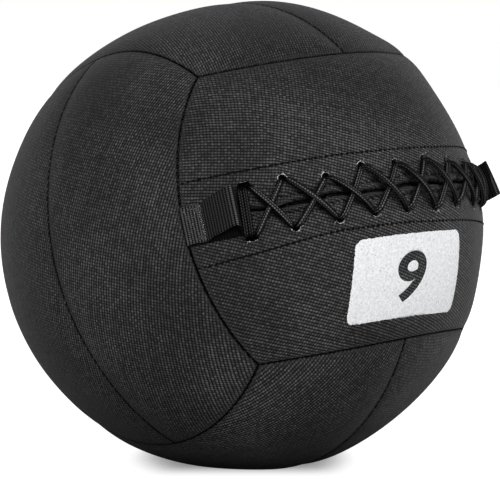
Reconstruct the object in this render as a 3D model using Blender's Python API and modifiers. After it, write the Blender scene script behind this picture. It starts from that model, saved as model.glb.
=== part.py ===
# A soft wall ball: twelve sewn panels, a laced slit, two webbing tabs and a heavy core.
import math

import bmesh
import bpy
from mathutils import Matrix, Vector

# Driving dimensions, in metres and radians.
mm = 0.001
ball_width = 350 * mm
ball_height = 339.5 * mm
contact_radius = 38 * mm
roll_back = math.radians(17.5)
seam_bow = math.radians(9.2)
crease_angle = math.radians(40)
touch_gap = 0.35 * mm
merge_distance = 0.0035 * mm

# Cover.
cover_wall = 1.6 * mm
seam_gap = 0.6 * mm
seam_roll = 3.0 * mm
seam_reach = 26 * mm
pillow_rise = 3.0 * mm
seam_first_row = 1.6 * mm
seam_second_row = 6.0 * mm
seam_third_row = 16.0 * mm
panel_row_count = 2
panel_column_count = 8

# Lacing.
lace_diameter = 3.0 * mm
lace_gap = 0.75 * mm
lace_pairs = 9
lace_to_tab = 13.5 * mm
lace_shift = -6.0 * mm
end_strands = 3
strands = 2
hole_offset = 16.0 * mm
slot_clearance = 0.3 * mm
slot_sides = 8
slot_depth = 12 * mm
slot_overrun = 4 * mm
outside_bend = 1.6 * mm
inside_bend = 2.0 * mm
lace_tail = 14 * mm
lace_apart = 9 * mm
# The holes were punched by eye, so each stands a little off its even place, along and across.
upper_nudges = (
    (0.5 * mm, 0.8 * mm), (-2.6 * mm, 1.2 * mm), (-1.5 * mm, -2.6 * mm),
    (-1.8 * mm, 1.2 * mm), (-1.3 * mm, 0), (-1.5 * mm, 1.2 * mm),
    (-3.0 * mm, -1.6 * mm), (-2.4 * mm, -1.6 * mm), (0, -1.0 * mm),
)
lower_nudges = (
    (-1.2 * mm, -1.0 * mm), (-1.4 * mm, 0), (1.6 * mm, 0.3 * mm),
    (0.9 * mm, 0.9 * mm), (0.6 * mm, 0), (0, -1.3 * mm),
    (-1.6 * mm, 0.2 * mm), (1.6 * mm, -0.4 * mm), (-0.4 * mm, -1.4 * mm),
)
facing_wall = 1.2 * mm

# Webbing tabs.
tab_width = 25 * mm
tab_wall = 1.6 * mm
tab_height = 13 * mm
tab_seam_inset = 3.5 * mm
tab_stitch_length = 17 * mm
tab_crest_from_seam = 37.5 * mm
tab_foot_from_seam = 38.5 * mm
left_tab_drop = 3.2 * mm
left_tab_lean = 8.4 * mm
right_tab_drop = 0.4 * mm
right_tab_lean = 3.5 * mm
tab_columns = 4
tab_base_shares = (0, 0.33, 0.66, 1)
tab_rise_shares = ((0.22, 0.34), (0.5, 0.7), (0.78, 0.94))

# Filling.
bag_wall = 1.0 * mm
bag_segments = 20
bag_rings = 10
core_radius = 80 * mm
sack_wall = 1.2 * mm
neck_radius = 9 * mm
neck_height = 14 * mm
neck_bore = 3 * mm
core_segments = 20
core_rings = 10

# Worked out from the above.
half_width = ball_width / 2
contact_share = math.sqrt(1 - (contact_radius / half_width) ** 2)
half_height = ball_height / (1 + contact_share)
centre_height = ball_height - half_height
height_share = half_height / half_width
lace_radius = lace_diameter / 2
slot_step = lace_diameter + lace_gap
hem_depth = pillow_rise + seam_roll + cover_wall
lace_over = lace_radius + touch_gap
lace_inside_depth = hem_depth + touch_gap + lace_radius
lace_inner_depth = lace_inside_depth + slot_step
bag_depth = lace_inner_depth + lace_radius + touch_gap
sack_radius = core_radius + touch_gap + sack_wall
cavity_radius = sack_radius + touch_gap
centre = Vector((0, 0, centre_height))


def new_collection(name):
    collection = bpy.data.collections.new(name)
    bpy.context.scene.collection.children.link(collection)
    return collection


def make_material(name, color, roughness, metallic=0.0):
    material = bpy.data.materials.new(name)
    material.use_nodes = True
    shader = material.node_tree.nodes["Principled BSDF"]
    shader.inputs["Base Color"].default_value = (*color, 1)
    shader.inputs["Roughness"].default_value = roughness
    shader.inputs["Metallic"].default_value = metallic
    return material


def add_object(name, bm, material, collection):
    mesh = bpy.data.meshes.new(name)
    bm.to_mesh(mesh)
    bm.free()
    mesh.materials.append(material)
    mesh.shade_smooth()
    mesh.set_sharp_from_angle(angle=crease_angle)
    piece = bpy.data.objects.new(name, mesh)
    collection.objects.link(piece)
    return piece


def add_wall(piece, thickness, offset=-1.0):
    wall = piece.modifiers.new("wall", "SOLIDIFY")
    wall.thickness = thickness
    wall.offset = offset


def add_cut(piece, cutter):
    cut = piece.modifiers.new("cut", "BOOLEAN")
    cut.operation = "DIFFERENCE"
    cut.solver = "EXACT"
    cut.object = cutter


def hide_cutter(cutter):
    cutter.hide_render = True
    cutter.display_type = "WIRE"


# The ball is sewn as a sphere about the lacing, which runs along X on the -Y side.
# settle rolls it back and lets it sag to its resting height.
def settle(point):
    rolled = Matrix.Rotation(-roll_back, 3, "X") @ point
    return Vector((rolled.x, rolled.y, rolled.z * height_share)) + centre


def rest_on_floor(point):
    return Vector((point.x, point.y, max(point.z, 0)))


def along_across(along, across):
    """Direction at arc lengths along the lacing and across it."""
    a = along / half_width
    b = across / half_width
    return Vector((math.sin(a) * math.cos(b), -math.cos(a) * math.cos(b), math.sin(b)))


def at_height(along, across, height):
    return settle(along_across(along, across) * (half_width + height))


# Each cube edge is an arc of a small circle through its two corners and its pushed middle.
def arc_through(start, middle, end):
    normal = (middle - start).cross(end - start).normalized()
    hub = normal * normal.dot(start)
    radius = (start - hub).length
    first = (start - hub).normalized()
    second = normal.cross(first)
    spoke = end - hub
    sweep = math.atan2(spoke.dot(second), spoke.dot(first)) % math.tau

    def point(share):
        turn = sweep * share
        return hub + radius * (math.cos(turn) * first + math.sin(turn) * second)

    return point, radius * sweep * half_width


mid_half_angle = math.pi / 4 + seam_bow
far_angle = math.pi / 4 - seam_bow
corner_high_left = Vector((-1, -1, 1)).normalized()
corner_high_right = Vector((1, -1, 1)).normalized()
corner_low_left = Vector((-1, -1, -1)).normalized()
junction_left = Vector((-math.sin(mid_half_angle), -math.cos(mid_half_angle), 0))
far_middle = Vector((0, -math.cos(far_angle), math.sin(far_angle)))
far_arc, far_length = arc_through(corner_high_left, far_middle, corner_high_right)
side_arc, side_length = arc_through(corner_low_left, junction_left, corner_high_left)
mid_length = 2 * mid_half_angle * half_width
panel_height = side_length / 2
lace_pitch = (mid_length - 2 * (tab_foot_from_seam + lace_to_tab)) / (lace_pairs - 1)


def mid_seam(share):
    angle = mid_half_angle * (2 * share - 1)
    return Vector((math.sin(angle), -math.cos(angle), 0))


def left_edge(share):
    return side_arc((1 + share) / 2)


def right_edge(share):
    point = left_edge(share)
    return Vector((-point.x, point.y, point.z))


def patch_direction(s, t):
    """Coons patch between the four seams, pushed out to the sphere."""
    rails = mid_seam(s).lerp(far_arc(s), t)
    sides = left_edge(t).lerp(right_edge(t), s)
    low = junction_left.lerp(right_edge(0), s)
    high = corner_high_left.lerp(corner_high_right, s)
    return (rails + sides - low.lerp(high, t)).normalized()


def seam_depth(distance):
    pillow = pillow_rise * max(0, 1 - distance / seam_reach) ** 2
    roll = seam_roll * max(0, 1 - distance / seam_roll) ** 2
    return pillow + roll


# Rows count in from each seam, and then share out what lies between.
def row_distances(length, edge_rows, count):
    near = list(edge_rows)
    far = [length - row for row in reversed(near)]
    step = (far[0] - near[-1]) / count
    middle = [near[-1] + step * index for index in range(1, count)]
    return near + middle + far


across_edge_rows = (seam_gap / 2, seam_first_row, seam_second_row, seam_reach)
along_edge_rows = (seam_gap / 2, seam_first_row, seam_second_row, seam_third_row)
panel_rows = row_distances(panel_height, across_edge_rows, panel_row_count)


def panel_point(column, row, inset):
    t = panel_rows[row] / panel_height
    width = mid_length + (far_length - mid_length) * t
    distances = row_distances(width, along_edge_rows, panel_column_count)
    s = distances[column] / width
    nearest_side = min(distances[column], width - distances[column])
    nearest_rail = min(panel_rows[row], panel_height - panel_rows[row])
    depth = seam_depth(min(nearest_side, nearest_rail))
    return patch_direction(s, t) * (half_width - depth - inset)


def face_turn(face, side):
    """Turn that carries the front upper panel to the panel beside the given face and side."""
    face = Vector(face)
    side = Vector(side)
    seam = side.cross(face)
    return Matrix((seam, -face, side)).transposed()


def patch_mesh(turn, columns_kept, rows_kept, inset):
    bm = bmesh.new()
    width = len(columns_kept)
    height = len(rows_kept)
    bmesh.ops.create_grid(bm, x_segments=width - 1, y_segments=height - 1, size=1)
    for vert in bm.verts:
        column = columns_kept[round((vert.co.x + 1) / 2 * (width - 1))]
        row = rows_kept[round((vert.co.y + 1) / 2 * (height - 1))]
        vert.co = rest_on_floor(settle(turn @ panel_point(column, row, inset)))
    bm.normal_update()
    face = bm.faces[:][0]
    if face.normal.dot(face.calc_center_median() - centre) < 0:
        bmesh.ops.reverse_faces(bm, faces=bm.faces[:])
    return bm


all_columns = range(2 * len(along_edge_rows) + panel_column_count - 1)
all_rows = range(len(panel_rows))
# A facing lies between the second row and the reach of the slit's pucker.
facing_columns = all_columns[len(along_edge_rows) - 1: 1 - len(along_edge_rows)]
facing_rows = all_rows[len(across_edge_rows) - 2: len(across_edge_rows)]

panel_places = {
    "front_upper_panel": ((0, -1, 0), (0, 0, 1)),
    "front_lower_panel": ((0, -1, 0), (0, 0, -1)),
    "back_upper_panel": ((0, 1, 0), (0, 0, 1)),
    "back_lower_panel": ((0, 1, 0), (0, 0, -1)),
    "left_front_panel": ((-1, 0, 0), (0, -1, 0)),
    "left_rear_panel": ((-1, 0, 0), (0, 1, 0)),
    "right_front_panel": ((1, 0, 0), (0, -1, 0)),
    "right_rear_panel": ((1, 0, 0), (0, 1, 0)),
    "top_left_panel": ((0, 0, 1), (-1, 0, 0)),
    "top_right_panel": ((0, 0, 1), (1, 0, 0)),
    "bottom_left_panel": ((0, 0, -1), (-1, 0, 0)),
    "bottom_right_panel": ((0, 0, -1), (1, 0, 0)),
}


def make_panels(material, collection):
    panels = {}
    for name, (face, side) in panel_places.items():
        bm = patch_mesh(face_turn(face, side), all_columns, all_rows, 0)
        panels[name] = add_object(name, bm, material, collection)
        add_wall(panels[name], cover_wall)
    return panels


def make_facings(material, collection):
    facings = {}
    for name, panel in (("upper_lace_facing", "front_upper_panel"),
                        ("lower_lace_facing", "front_lower_panel")):
        turn = face_turn(*panel_places[panel])
        bm = patch_mesh(turn, facing_columns, facing_rows, cover_wall + touch_gap)
        facings[name] = add_object(name, bm, material, collection)
        add_wall(facings[name], facing_wall)
    return facings


def hole_place(index, side):
    """Middle of a slot, along the lacing and across it."""
    nudges = upper_nudges if side > 0 else lower_nudges
    along = lace_shift + (index - (lace_pairs - 1) / 2) * lace_pitch
    return along + nudges[index][0], side * hole_offset + nudges[index][1]


def strands_in_slot(index):
    return end_strands if index in (0, lace_pairs - 1) else strands


def strand_place(index, order, side):
    """Place of one strand in a slot, counted from the left."""
    along, across = hole_place(index, side)
    return along + (order - (strands_in_slot(index) - 1) / 2) * slot_step, across


def make_slot_cutter(name, side, material, collection):
    bm = bmesh.new()
    corner = 1 / math.cos(math.pi / slot_sides)
    for index in range(lace_pairs):
        slot = bmesh.new()
        bmesh.ops.create_circle(
            slot, segments=slot_sides, cap_ends=True,
            radius=(lace_radius + slot_clearance) * corner,
            matrix=Matrix.Rotation(math.pi / slot_sides, 4, "Z"))
        stretch = slot_step * (strands_in_slot(index) - 1) / 2
        for vert in slot.verts:
            vert.co.x += math.copysign(stretch, vert.co.x)
        grown = bmesh.ops.extrude_face_region(slot, geom=slot.faces[:])
        tops = [item for item in grown["geom"] if isinstance(item, bmesh.types.BMVert)]
        bmesh.ops.translate(slot, verts=tops, vec=(0, 0, slot_depth + slot_overrun))
        bmesh.ops.recalc_face_normals(slot, faces=slot.faces[:])
        place, across = hole_place(index, side)
        low = at_height(place, across, -slot_depth)
        high = at_height(place, across, slot_overrun)
        up = (high - low).normalized()
        run = at_height(place + lace_pitch, across, 0) - at_height(place - lace_pitch, across, 0)
        run = (run - up * run.dot(up)).normalized()
        axes = Matrix((run, up.cross(run), up)).transposed().to_4x4()
        slot.transform(Matrix.Translation(low) @ axes)
        mesh = bpy.data.meshes.new(name)
        slot.to_mesh(mesh)
        slot.free()
        bm.from_mesh(mesh)
        bpy.data.meshes.remove(mesh)
    cutter = add_object(name, bm, material, collection)
    hide_cutter(cutter)
    return cutter


# The lace crosses the slit outside from one pair to the next, and passes behind at each pair.
def outside_run(start, end, lift):
    a0, b0 = start
    a1, b1 = end
    bend = outside_bend / math.hypot(a1 - a0, b1 - b0)
    return [
        (a0, b0, touch_gap),
        (a0 + (a1 - a0) * bend, b0 + (b1 - b0) * bend, lace_over),
        ((a0 + a1) / 2, (b0 + b1) / 2, lace_over + lift),
        (a1 - (a1 - a0) * bend, b1 - (b1 - b0) * bend, lace_over),
        (a1, b1, touch_gap),
    ]


def inside_run(start, end, depth):
    a0, b0 = start
    a1, b1 = end
    bend = inside_bend / math.hypot(a1 - a0, b1 - b0)
    return [
        (a0, b0, outside_bend - depth),
        (a0 + (a1 - a0) * bend, b0 + (b1 - b0) * bend, -depth),
        (a1 - (a1 - a0) * bend, b1 - (b1 - b0) * bend, -depth),
        (a1, b1, outside_bend - depth),
    ]


def upper(index, order):
    return strand_place(index, order, 1)


def lower(index, order):
    return strand_place(index, order, -1)


def right_order(index):
    return strands_in_slot(index) - 1


def tail_run(place, across, side):
    """From straight under a slot out to the lace's end, which lies along the slit inside."""
    return [
        (place, across, outside_bend - lace_inside_depth),
        (place + side * outside_bend, across, -lace_inside_depth),
        (place + side * lace_tail, across, -lace_inside_depth),
    ]


def lace_route():
    last = lace_pairs - 1
    route = list(reversed(tail_run(*upper(0, 2), 1)))
    # To the right: over the slit from each upper hole to the next lower one.
    for index in range(last):
        route += outside_run(upper(index, right_order(index)), lower(index + 1, 0), slot_step)
        if index + 1 < last:
            route += inside_run(lower(index + 1, 0), upper(index + 1, 1), lace_inside_depth)
    # Two bars close the right end.
    route += inside_run(lower(last, 0), upper(last, 1), lace_inside_depth)
    route += outside_run(upper(last, 1), lower(last, 1), 0)
    route += inside_run(lower(last, 1), upper(last, 2), lace_inside_depth)
    route += outside_run(upper(last, 2), lower(last, 2), 0)
    route += inside_run(lower(last, 2), upper(last, 0), lace_inner_depth)
    # Back to the left, under the first strands outside and behind them inside.
    for index in range(last, 0, -1):
        route += outside_run(upper(index, 0), lower(index - 1, right_order(index - 1)), 0)
        if index - 1 > 0:
            route += inside_run(lower(index - 1, 1), upper(index - 1, 0), lace_inner_depth)
    # Two bars close the left end, and the tail lies inside.
    route += inside_run(lower(0, 2), upper(0, 1), lace_inner_depth)
    route += outside_run(upper(0, 1), lower(0, 1), 0)
    route += inside_run(lower(0, 1), upper(0, 0), lace_inner_depth)
    route += outside_run(upper(0, 0), lower(0, 0), 0)
    route += tail_run(*lower(0, 0), -1)
    return [at_height(*place) for place in route]


def least_gap(points):
    """Smallest gap between strands that are far apart along the lace."""
    samples = []
    travelled = 0
    for start, end in zip(points, points[1:]):
        steps = max(1, round((end - start).length / lace_gap))
        for step in range(steps):
            share = step / steps
            samples.append((start.lerp(end, share), travelled + (end - start).length * share))
        travelled += (end - start).length
    least = ball_width
    for first, (point, place) in enumerate(samples):
        for other, other_place in samples[first + 1:]:
            if other_place - place > lace_apart:
                least = min(least, (other - point).length)
    return least - lace_diameter, travelled


def make_lace(material, collection):
    points = lace_route()
    curve = bpy.data.curves.new("lace", "CURVE")
    curve.dimensions = "3D"
    curve.bevel_depth = lace_radius
    curve.bevel_resolution = 2
    curve.use_fill_caps = True
    spline = curve.splines.new("POLY")
    spline.points.add(len(points) - 1)
    for knot, point in zip(spline.points, points):
        knot.co = (*point, 1)
    curve.materials.append(material)
    lace = bpy.data.objects.new("lace", curve)
    collection.objects.link(lace)
    gap, length = least_gap(points)
    print(f"lace: {length:.3f} m long, least gap to itself {gap / mm:.2f} mm")
    return lace


def tab_profile():
    """Closed centre line of one tab: distance in from the side seam, and height."""
    low = tab_wall / 2 + touch_gap
    high = low + tab_wall + touch_gap
    crest = tab_height - tab_wall / 2
    inset = tab_seam_inset
    stitched = inset + tab_stitch_length
    crest_in = tab_crest_from_seam
    foot_in = tab_foot_from_seam
    profile = [(inset + (foot_in - inset) * share, low) for share in tab_base_shares]
    profile.append((foot_in + tab_wall / 2, (low + crest) / 2))
    profile.append((crest_in, crest))
    for along_share, up_share in reversed(tab_rise_shares):
        profile.append((stitched + (crest_in - stitched) * along_share,
                        high + (crest - high) * up_share))
    profile.append((stitched, high))
    profile.append(((stitched + inset) / 2, high))
    profile.append((inset, high))
    profile.append((inset - tab_wall / 2, (low + high) / 2))
    return profile


def make_tab(name, side, drop, lean, material, collection):
    profile = tab_profile()
    count = len(profile)
    bm = bmesh.new()
    bmesh.ops.create_grid(bm, x_segments=count, y_segments=tab_columns, size=1)
    for vert in bm.verts:
        inward, height = profile[round((vert.co.x + 1) / 2 * count) % count]
        along = side * (mid_length / 2 - inward)
        # Its base is sewn a little below the slit, and the loop leans back up over it.
        across = vert.co.y * tab_width / 2 - drop + lean * height / tab_height
        # The webbing bridges the slit and rests on the cover beside it.
        seat = seam_depth(min(inward, tab_width / 2))
        vert.co = at_height(along, across, height - seat)
    bmesh.ops.remove_doubles(bm, verts=bm.verts[:], dist=merge_distance)
    bmesh.ops.recalc_face_normals(bm, faces=bm.faces[:])
    tab = add_object(name, bm, material, collection)
    add_wall(tab, tab_wall, 0.0)
    return tab


def ball_mesh(radius, segments, rings):
    """Ball with its poles on the lacing and opposite it."""
    bm = bmesh.new()
    bmesh.ops.create_uvsphere(bm, u_segments=segments, v_segments=rings, radius=radius)
    bmesh.ops.rotate(bm, verts=bm.verts[:], matrix=Matrix.Rotation(math.pi / 2, 3, "X"))
    return bm


def make_bag(material, collection):
    bm = ball_mesh(half_width - bag_depth, bag_segments, bag_rings)
    pole = min(bm.verts, key=lambda vert: vert.co.y)
    bmesh.ops.delete(bm, geom=[pole], context="VERTS")
    for vert in bm.verts:
        vert.co = settle(vert.co)
    bag = add_object("inner_bag", bm, material, collection)
    add_wall(bag, bag_wall)
    return bag


def make_stuffing(name, side, cutter, material, collection):
    radius = half_width - bag_depth - bag_wall - 2 * touch_gap
    bm = ball_mesh(radius, bag_segments, bag_rings)
    for vert in bm.verts:
        vert.co = settle(vert.co)
    plane = centre + Vector((0, 0, side * touch_gap / 2))
    bmesh.ops.bisect_plane(
        bm, geom=bm.verts[:] + bm.edges[:] + bm.faces[:],
        plane_co=plane, plane_no=(0, 0, side), clear_inner=True)
    rim = [edge for edge in bm.edges if edge.is_boundary]
    bmesh.ops.contextual_create(bm, geom=rim)
    bmesh.ops.recalc_face_normals(bm, faces=bm.faces[:])
    stuffing = add_object(name, bm, material, collection)
    add_cut(stuffing, cutter)
    return stuffing


def turned(name, profile, material, collection):
    """Profile at +X, from its top on the outer side to its bottom, turned about Z."""
    bm = bmesh.new()
    verts = [bm.verts.new((x, 0, z)) for x, z in profile]
    for first, second in zip(verts, verts[1:]):
        bm.edges.new((first, second))
    if profile[0][0] > 0:
        bm.edges.new((verts[-1], verts[0]))
    piece = add_object(name, bm, material, collection)
    piece.location = centre
    turn = piece.modifiers.new("turn", "SCREW")
    turn.steps = core_segments
    turn.render_steps = core_segments
    turn.use_merge_vertices = True
    turn.merge_threshold = merge_distance
    turn.use_normal_calculate = True
    return piece


def neck_angle(radius, neck):
    return math.asin(neck / radius)


def round_profile(radius, top_angle):
    angles = [top_angle + (math.pi - top_angle) * index / core_rings
              for index in range(core_rings + 1)]
    points = [(radius * math.sin(angle), radius * math.cos(angle)) for angle in angles]
    points[-1] = (0, points[-1][1])
    return points


def make_core_sack(material, collection):
    outer = round_profile(sack_radius, neck_angle(sack_radius, neck_radius))
    inner = round_profile(sack_radius - sack_wall, neck_angle(sack_radius - sack_wall, neck_bore))
    neck_top = sack_radius + neck_height
    profile = [(neck_radius, neck_top)] + outer
    profile += list(reversed(inner)) + [(neck_bore, neck_top)]
    return turned("core_sack", profile, material, collection)


def make_core_fill(material, collection):
    # The fill's rings lie on the same angles as the sack's inside, so they stay parallel.
    top_angle = neck_angle(sack_radius - sack_wall, neck_bore)
    profile = [(0, core_radius)] + round_profile(core_radius, top_angle)
    return turned("core_fill", profile, material, collection)


def make_cavity_cutter(material, collection):
    well = neck_radius + touch_gap
    profile = [(0, sack_radius + neck_height + touch_gap)]
    profile.append((well, sack_radius + neck_height + touch_gap))
    profile += round_profile(cavity_radius, neck_angle(cavity_radius, well))
    cutter = turned("cavity_cutter", profile, material, collection)
    hide_cutter(cutter)
    return cutter


def build():
    for thing in list(bpy.data.objects):
        bpy.data.objects.remove(thing, do_unlink=True)
    parts = new_collection("wall_ball")
    cutters = new_collection("cutters")
    cover = make_material("cover_vinyl", (0.035, 0.035, 0.037), 0.55)
    webbing = make_material("webbing", (0.012, 0.012, 0.013), 0.8)
    cord = make_material("lace_cord", (0.02, 0.02, 0.021), 0.75)
    facing = make_material("facing_cloth", (0.05, 0.05, 0.05), 0.85)
    liner = make_material("liner_cloth", (0.25, 0.24, 0.22), 0.9)
    fibre = make_material("stuffing_fibre", (0.45, 0.44, 0.42), 1.0)
    grit = make_material("iron_grit", (0.12, 0.11, 0.11), 0.6, 0.8)

    panels = make_panels(cover, parts)
    facings = make_facings(facing, parts)
    upper_slots = make_slot_cutter("upper_slots", 1, cover, cutters)
    lower_slots = make_slot_cutter("lower_slots", -1, cover, cutters)
    add_cut(panels["front_upper_panel"], upper_slots)
    add_cut(facings["upper_lace_facing"], upper_slots)
    add_cut(panels["front_lower_panel"], lower_slots)
    add_cut(facings["lower_lace_facing"], lower_slots)
    make_lace(cord, parts)
    make_tab("left_tab", -1, left_tab_drop, left_tab_lean, webbing, parts)
    make_tab("right_tab", 1, right_tab_drop, right_tab_lean, webbing, parts)
    make_bag(liner, parts)
    cavity = make_cavity_cutter(liner, cutters)
    make_stuffing("upper_stuffing", 1, cavity, fibre, parts)
    make_stuffing("lower_stuffing", -1, cavity, fibre, parts)
    make_core_sack(liner, parts)
    make_core_fill(grit, parts)


build()
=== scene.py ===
# %% [markdown]
# # A laced wall ball
#
# A wall ball is a soft ball that is thrown at a wall and caught. This one is sewn
# from twelve panels of woven-look vinyl round a stuffed bag, and its last seam is
# closed with a lace. The solids are loaded first, and every piece below is made in
# their frame, in metres, so that nothing has to be fitted by eye afterwards.

# %% Load the frame
import math

import bmesh
import bpy
import numpy as np
from mathutils import Matrix, Vector
from mathutils.bvhtree import BVHTree


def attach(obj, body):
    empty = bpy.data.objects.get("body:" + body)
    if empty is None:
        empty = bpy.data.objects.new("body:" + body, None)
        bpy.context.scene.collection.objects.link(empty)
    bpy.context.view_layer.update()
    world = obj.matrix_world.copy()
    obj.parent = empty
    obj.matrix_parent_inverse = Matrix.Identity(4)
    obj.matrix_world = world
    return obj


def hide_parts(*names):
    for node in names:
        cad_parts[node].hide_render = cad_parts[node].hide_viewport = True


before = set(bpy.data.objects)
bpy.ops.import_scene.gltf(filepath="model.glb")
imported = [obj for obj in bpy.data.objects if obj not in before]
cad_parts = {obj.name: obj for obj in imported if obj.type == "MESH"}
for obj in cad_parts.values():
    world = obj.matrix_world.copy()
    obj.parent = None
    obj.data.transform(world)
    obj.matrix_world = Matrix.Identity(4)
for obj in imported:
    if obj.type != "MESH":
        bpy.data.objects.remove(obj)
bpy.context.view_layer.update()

# %% [markdown]
# ## The ball's own sizes
#
# The shapes below follow the same formulas as the solids, so the driving sizes are
# repeated here. The ball is sewn as a sphere about its lacing, which runs along X on
# the -Y side, and then `settle` rolls it back and lets it sag to its resting height.

# %% Sizes of the ball
mm = 0.001
ball_width = 350 * mm
ball_height = 339.5 * mm
contact_radius = 38 * mm
roll_back = math.radians(17.5)
seam_bow = math.radians(9.2)
touch_gap = 0.35 * mm
cover_wall = 1.6 * mm
seam_gap = 0.6 * mm

half_width = ball_width / 2
contact_share = math.sqrt(1 - (contact_radius / half_width) ** 2)
half_height = ball_height / (1 + contact_share)
centre_height = ball_height - half_height
height_share = half_height / half_width
centre = np.array([0, 0, centre_height])
print(f"half height {half_height / mm:.1f} mm, centre at {centre_height / mm:.1f} mm")


# %% From the sewn sphere to the resting ball
def settle(points):
    points = np.atleast_2d(points)
    c, s = math.cos(roll_back), math.sin(roll_back)
    x, y, z = points.T
    return np.stack([x, c * y + s * z, (c * z - s * y) * height_share], 1) + centre


def along_across(along, across):
    """Directions at arc lengths along the lacing and across it."""
    a = np.atleast_1d(np.asarray(along, float)) / half_width
    b = np.atleast_1d(np.asarray(across, float)) / half_width
    return np.stack([np.sin(a) * np.cos(b), -np.cos(a) * np.cos(b), np.sin(b)], 1)


def at_height(along, across, height):
    height = np.atleast_1d(np.asarray(height, float))[:, None]
    return settle(along_across(along, across) * (half_width + height))


# %% [markdown]
# ## Camera
#
# The camera stands where the photographer stood: low, to the left of the lacing, and
# with a long lens, which keeps the ball's outline close to a circle.

# %% Camera
camera_azimuth, camera_elevation = -42.4, 7.92
camera_distance = 1.557


def way_to(azimuth, elevation):
    """Unit direction, in degrees round from the laced side and up from the floor."""
    azimuth, elevation = math.radians(azimuth), math.radians(elevation)
    return np.array([math.sin(azimuth) * math.cos(elevation),
                     -math.cos(azimuth) * math.cos(elevation), math.sin(elevation)])


def stand_off(piece, azimuth, elevation, distance):
    """Stands a camera or a lamp off the ball, turned towards its middle."""
    way = Vector(way_to(azimuth, elevation))
    piece.location = Vector(centre) + way * distance
    piece.rotation_euler = way.to_track_quat("Z", "Y").to_euler()
    bpy.context.scene.collection.objects.link(piece)


camera_data = bpy.data.cameras.new("camera")
camera_data.sensor_width = 36
camera_data.lens = 153.4
camera_data.shift_x = 0.0155
camera_data.shift_y = -0.0074
camera = bpy.data.objects.new("camera", camera_data)
stand_off(camera, camera_azimuth, camera_elevation, camera_distance)
bpy.context.scene.camera = camera
bpy.context.scene.view_settings.view_transform = "Standard"
print("camera at", [round(value, 3) for value in camera.location])


# %% [markdown]
# ## Small helpers for shader nodes
#
# A procedural material is a chain of small sums. A few helpers keep such chains short:
# `add_node` sets a node's options, `sum_node` links or sets the inputs of a Math node,
# and the rest name what is used again and again, such as an arch over each thread, a
# mask that falls off, or one tone laid over another.

# %% Node helpers
def add_node(tree, kind, **options):
    made = tree.nodes.new(kind)
    for name, value in options.items():
        setattr(made, name, value)
    return made


def feed(tree, socket, value):
    if hasattr(value, "links"):
        tree.links.new(value, socket)
    else:
        socket.default_value = value


def sum_node(tree, operation, *values):
    made = add_node(tree, "ShaderNodeMath", operation=operation)
    for socket, value in zip(made.inputs, values):
        feed(tree, socket, value)
    return made.outputs[0]


def mix_colors(tree, share, first, second):
    made = add_node(tree, "ShaderNodeMix", data_type="RGBA")
    feed(tree, made.inputs["Factor"], share)
    feed(tree, made.inputs["A"], first)
    feed(tree, made.inputs["B"], second)
    return made.outputs["Result"]


def ramp(tree, value, low, high):
    """Value from 0 at low to 1 at high."""
    made = add_node(tree, "ShaderNodeMapRange", interpolation_type="SMOOTHSTEP")
    feed(tree, made.inputs["Value"], value)
    feed(tree, made.inputs["From Min"], low)
    feed(tree, made.inputs["From Max"], high)
    return made.outputs["Result"]


def fall(tree, value, low, high):
    """Value from 1 at low to 0 at high."""
    return sum_node(tree, "SUBTRACT", 1.0, ramp(tree, value, low, high))


def arch(tree, value):
    """Half a sine wave over each whole step of the value."""
    return sum_node(tree, "SINE", sum_node(tree, "MULTIPLY",
                                           sum_node(tree, "FRACT", value), math.pi))


def lay_over(tree, color, mask, amount, tone):
    return mix_colors(tree, sum_node(tree, "MULTIPLY", mask, amount), color, tone)


def grey(light, blue=None):
    return (light, light, light if blue is None else blue, 1)


def noise_node(tree, vector, scale, detail=2.0, roughness=0.5, output="Fac"):
    made = add_node(tree, "ShaderNodeTexNoise")
    for name, value in (("Vector", vector), ("Scale", scale), ("Detail", detail),
                        ("Roughness", roughness)):
        feed(tree, made.inputs[name], value)
    return made.outputs[output]


def own_place(tree):
    """Object coordinates, in metres of the ball's own frame."""
    return add_node(tree, "ShaderNodeTexCoord").outputs["Object"]


def split_xyz(tree, vector):
    made = add_node(tree, "ShaderNodeSeparateXYZ")
    tree.links.new(vector, made.inputs[0])
    return made.outputs


def flat_map(tree, name):
    return add_node(tree, "ShaderNodeUVMap", uv_map=name).outputs[0]


def mesh_value(tree, name):
    return add_node(tree, "ShaderNodeAttribute", attribute_name=name).outputs["Fac"]


def turned_away(tree):
    """0 where the surface faces the eye, 1 at its outline."""
    made = add_node(tree, "ShaderNodeLayerWeight")
    made.inputs["Blend"].default_value = 0.5
    return made.outputs["Facing"]


def new_group(name, inputs, outputs):
    """Shader node group with float or vector inputs and float outputs."""
    tree = bpy.data.node_groups.new(name, "ShaderNodeTree")
    for label, kind, value in inputs:
        socket = tree.interface.new_socket(label, in_out="INPUT", socket_type=kind)
        if value is not None:
            socket.default_value = value
    for label, kind in outputs:
        tree.interface.new_socket(label, in_out="OUTPUT", socket_type=kind)
    start = tree.nodes.new("NodeGroupInput")
    end = tree.nodes.new("NodeGroupOutput")
    return tree, start.outputs, end.inputs


def use_group(tree, group, **values):
    made = add_node(tree, "ShaderNodeGroup", node_tree=group)
    for name, value in values.items():
        feed(tree, made.inputs[name.replace("_", " ")], value)
    return made.outputs


def new_material(name, roughness=0.5, specular=0.3):
    material = bpy.data.materials.new(name)
    material.use_nodes = True
    shader = material.node_tree.nodes["Principled BSDF"]
    shader.inputs["Roughness"].default_value = roughness
    shader.inputs["Specular IOR Level"].default_value = specular
    return material, material.node_tree, shader


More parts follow.
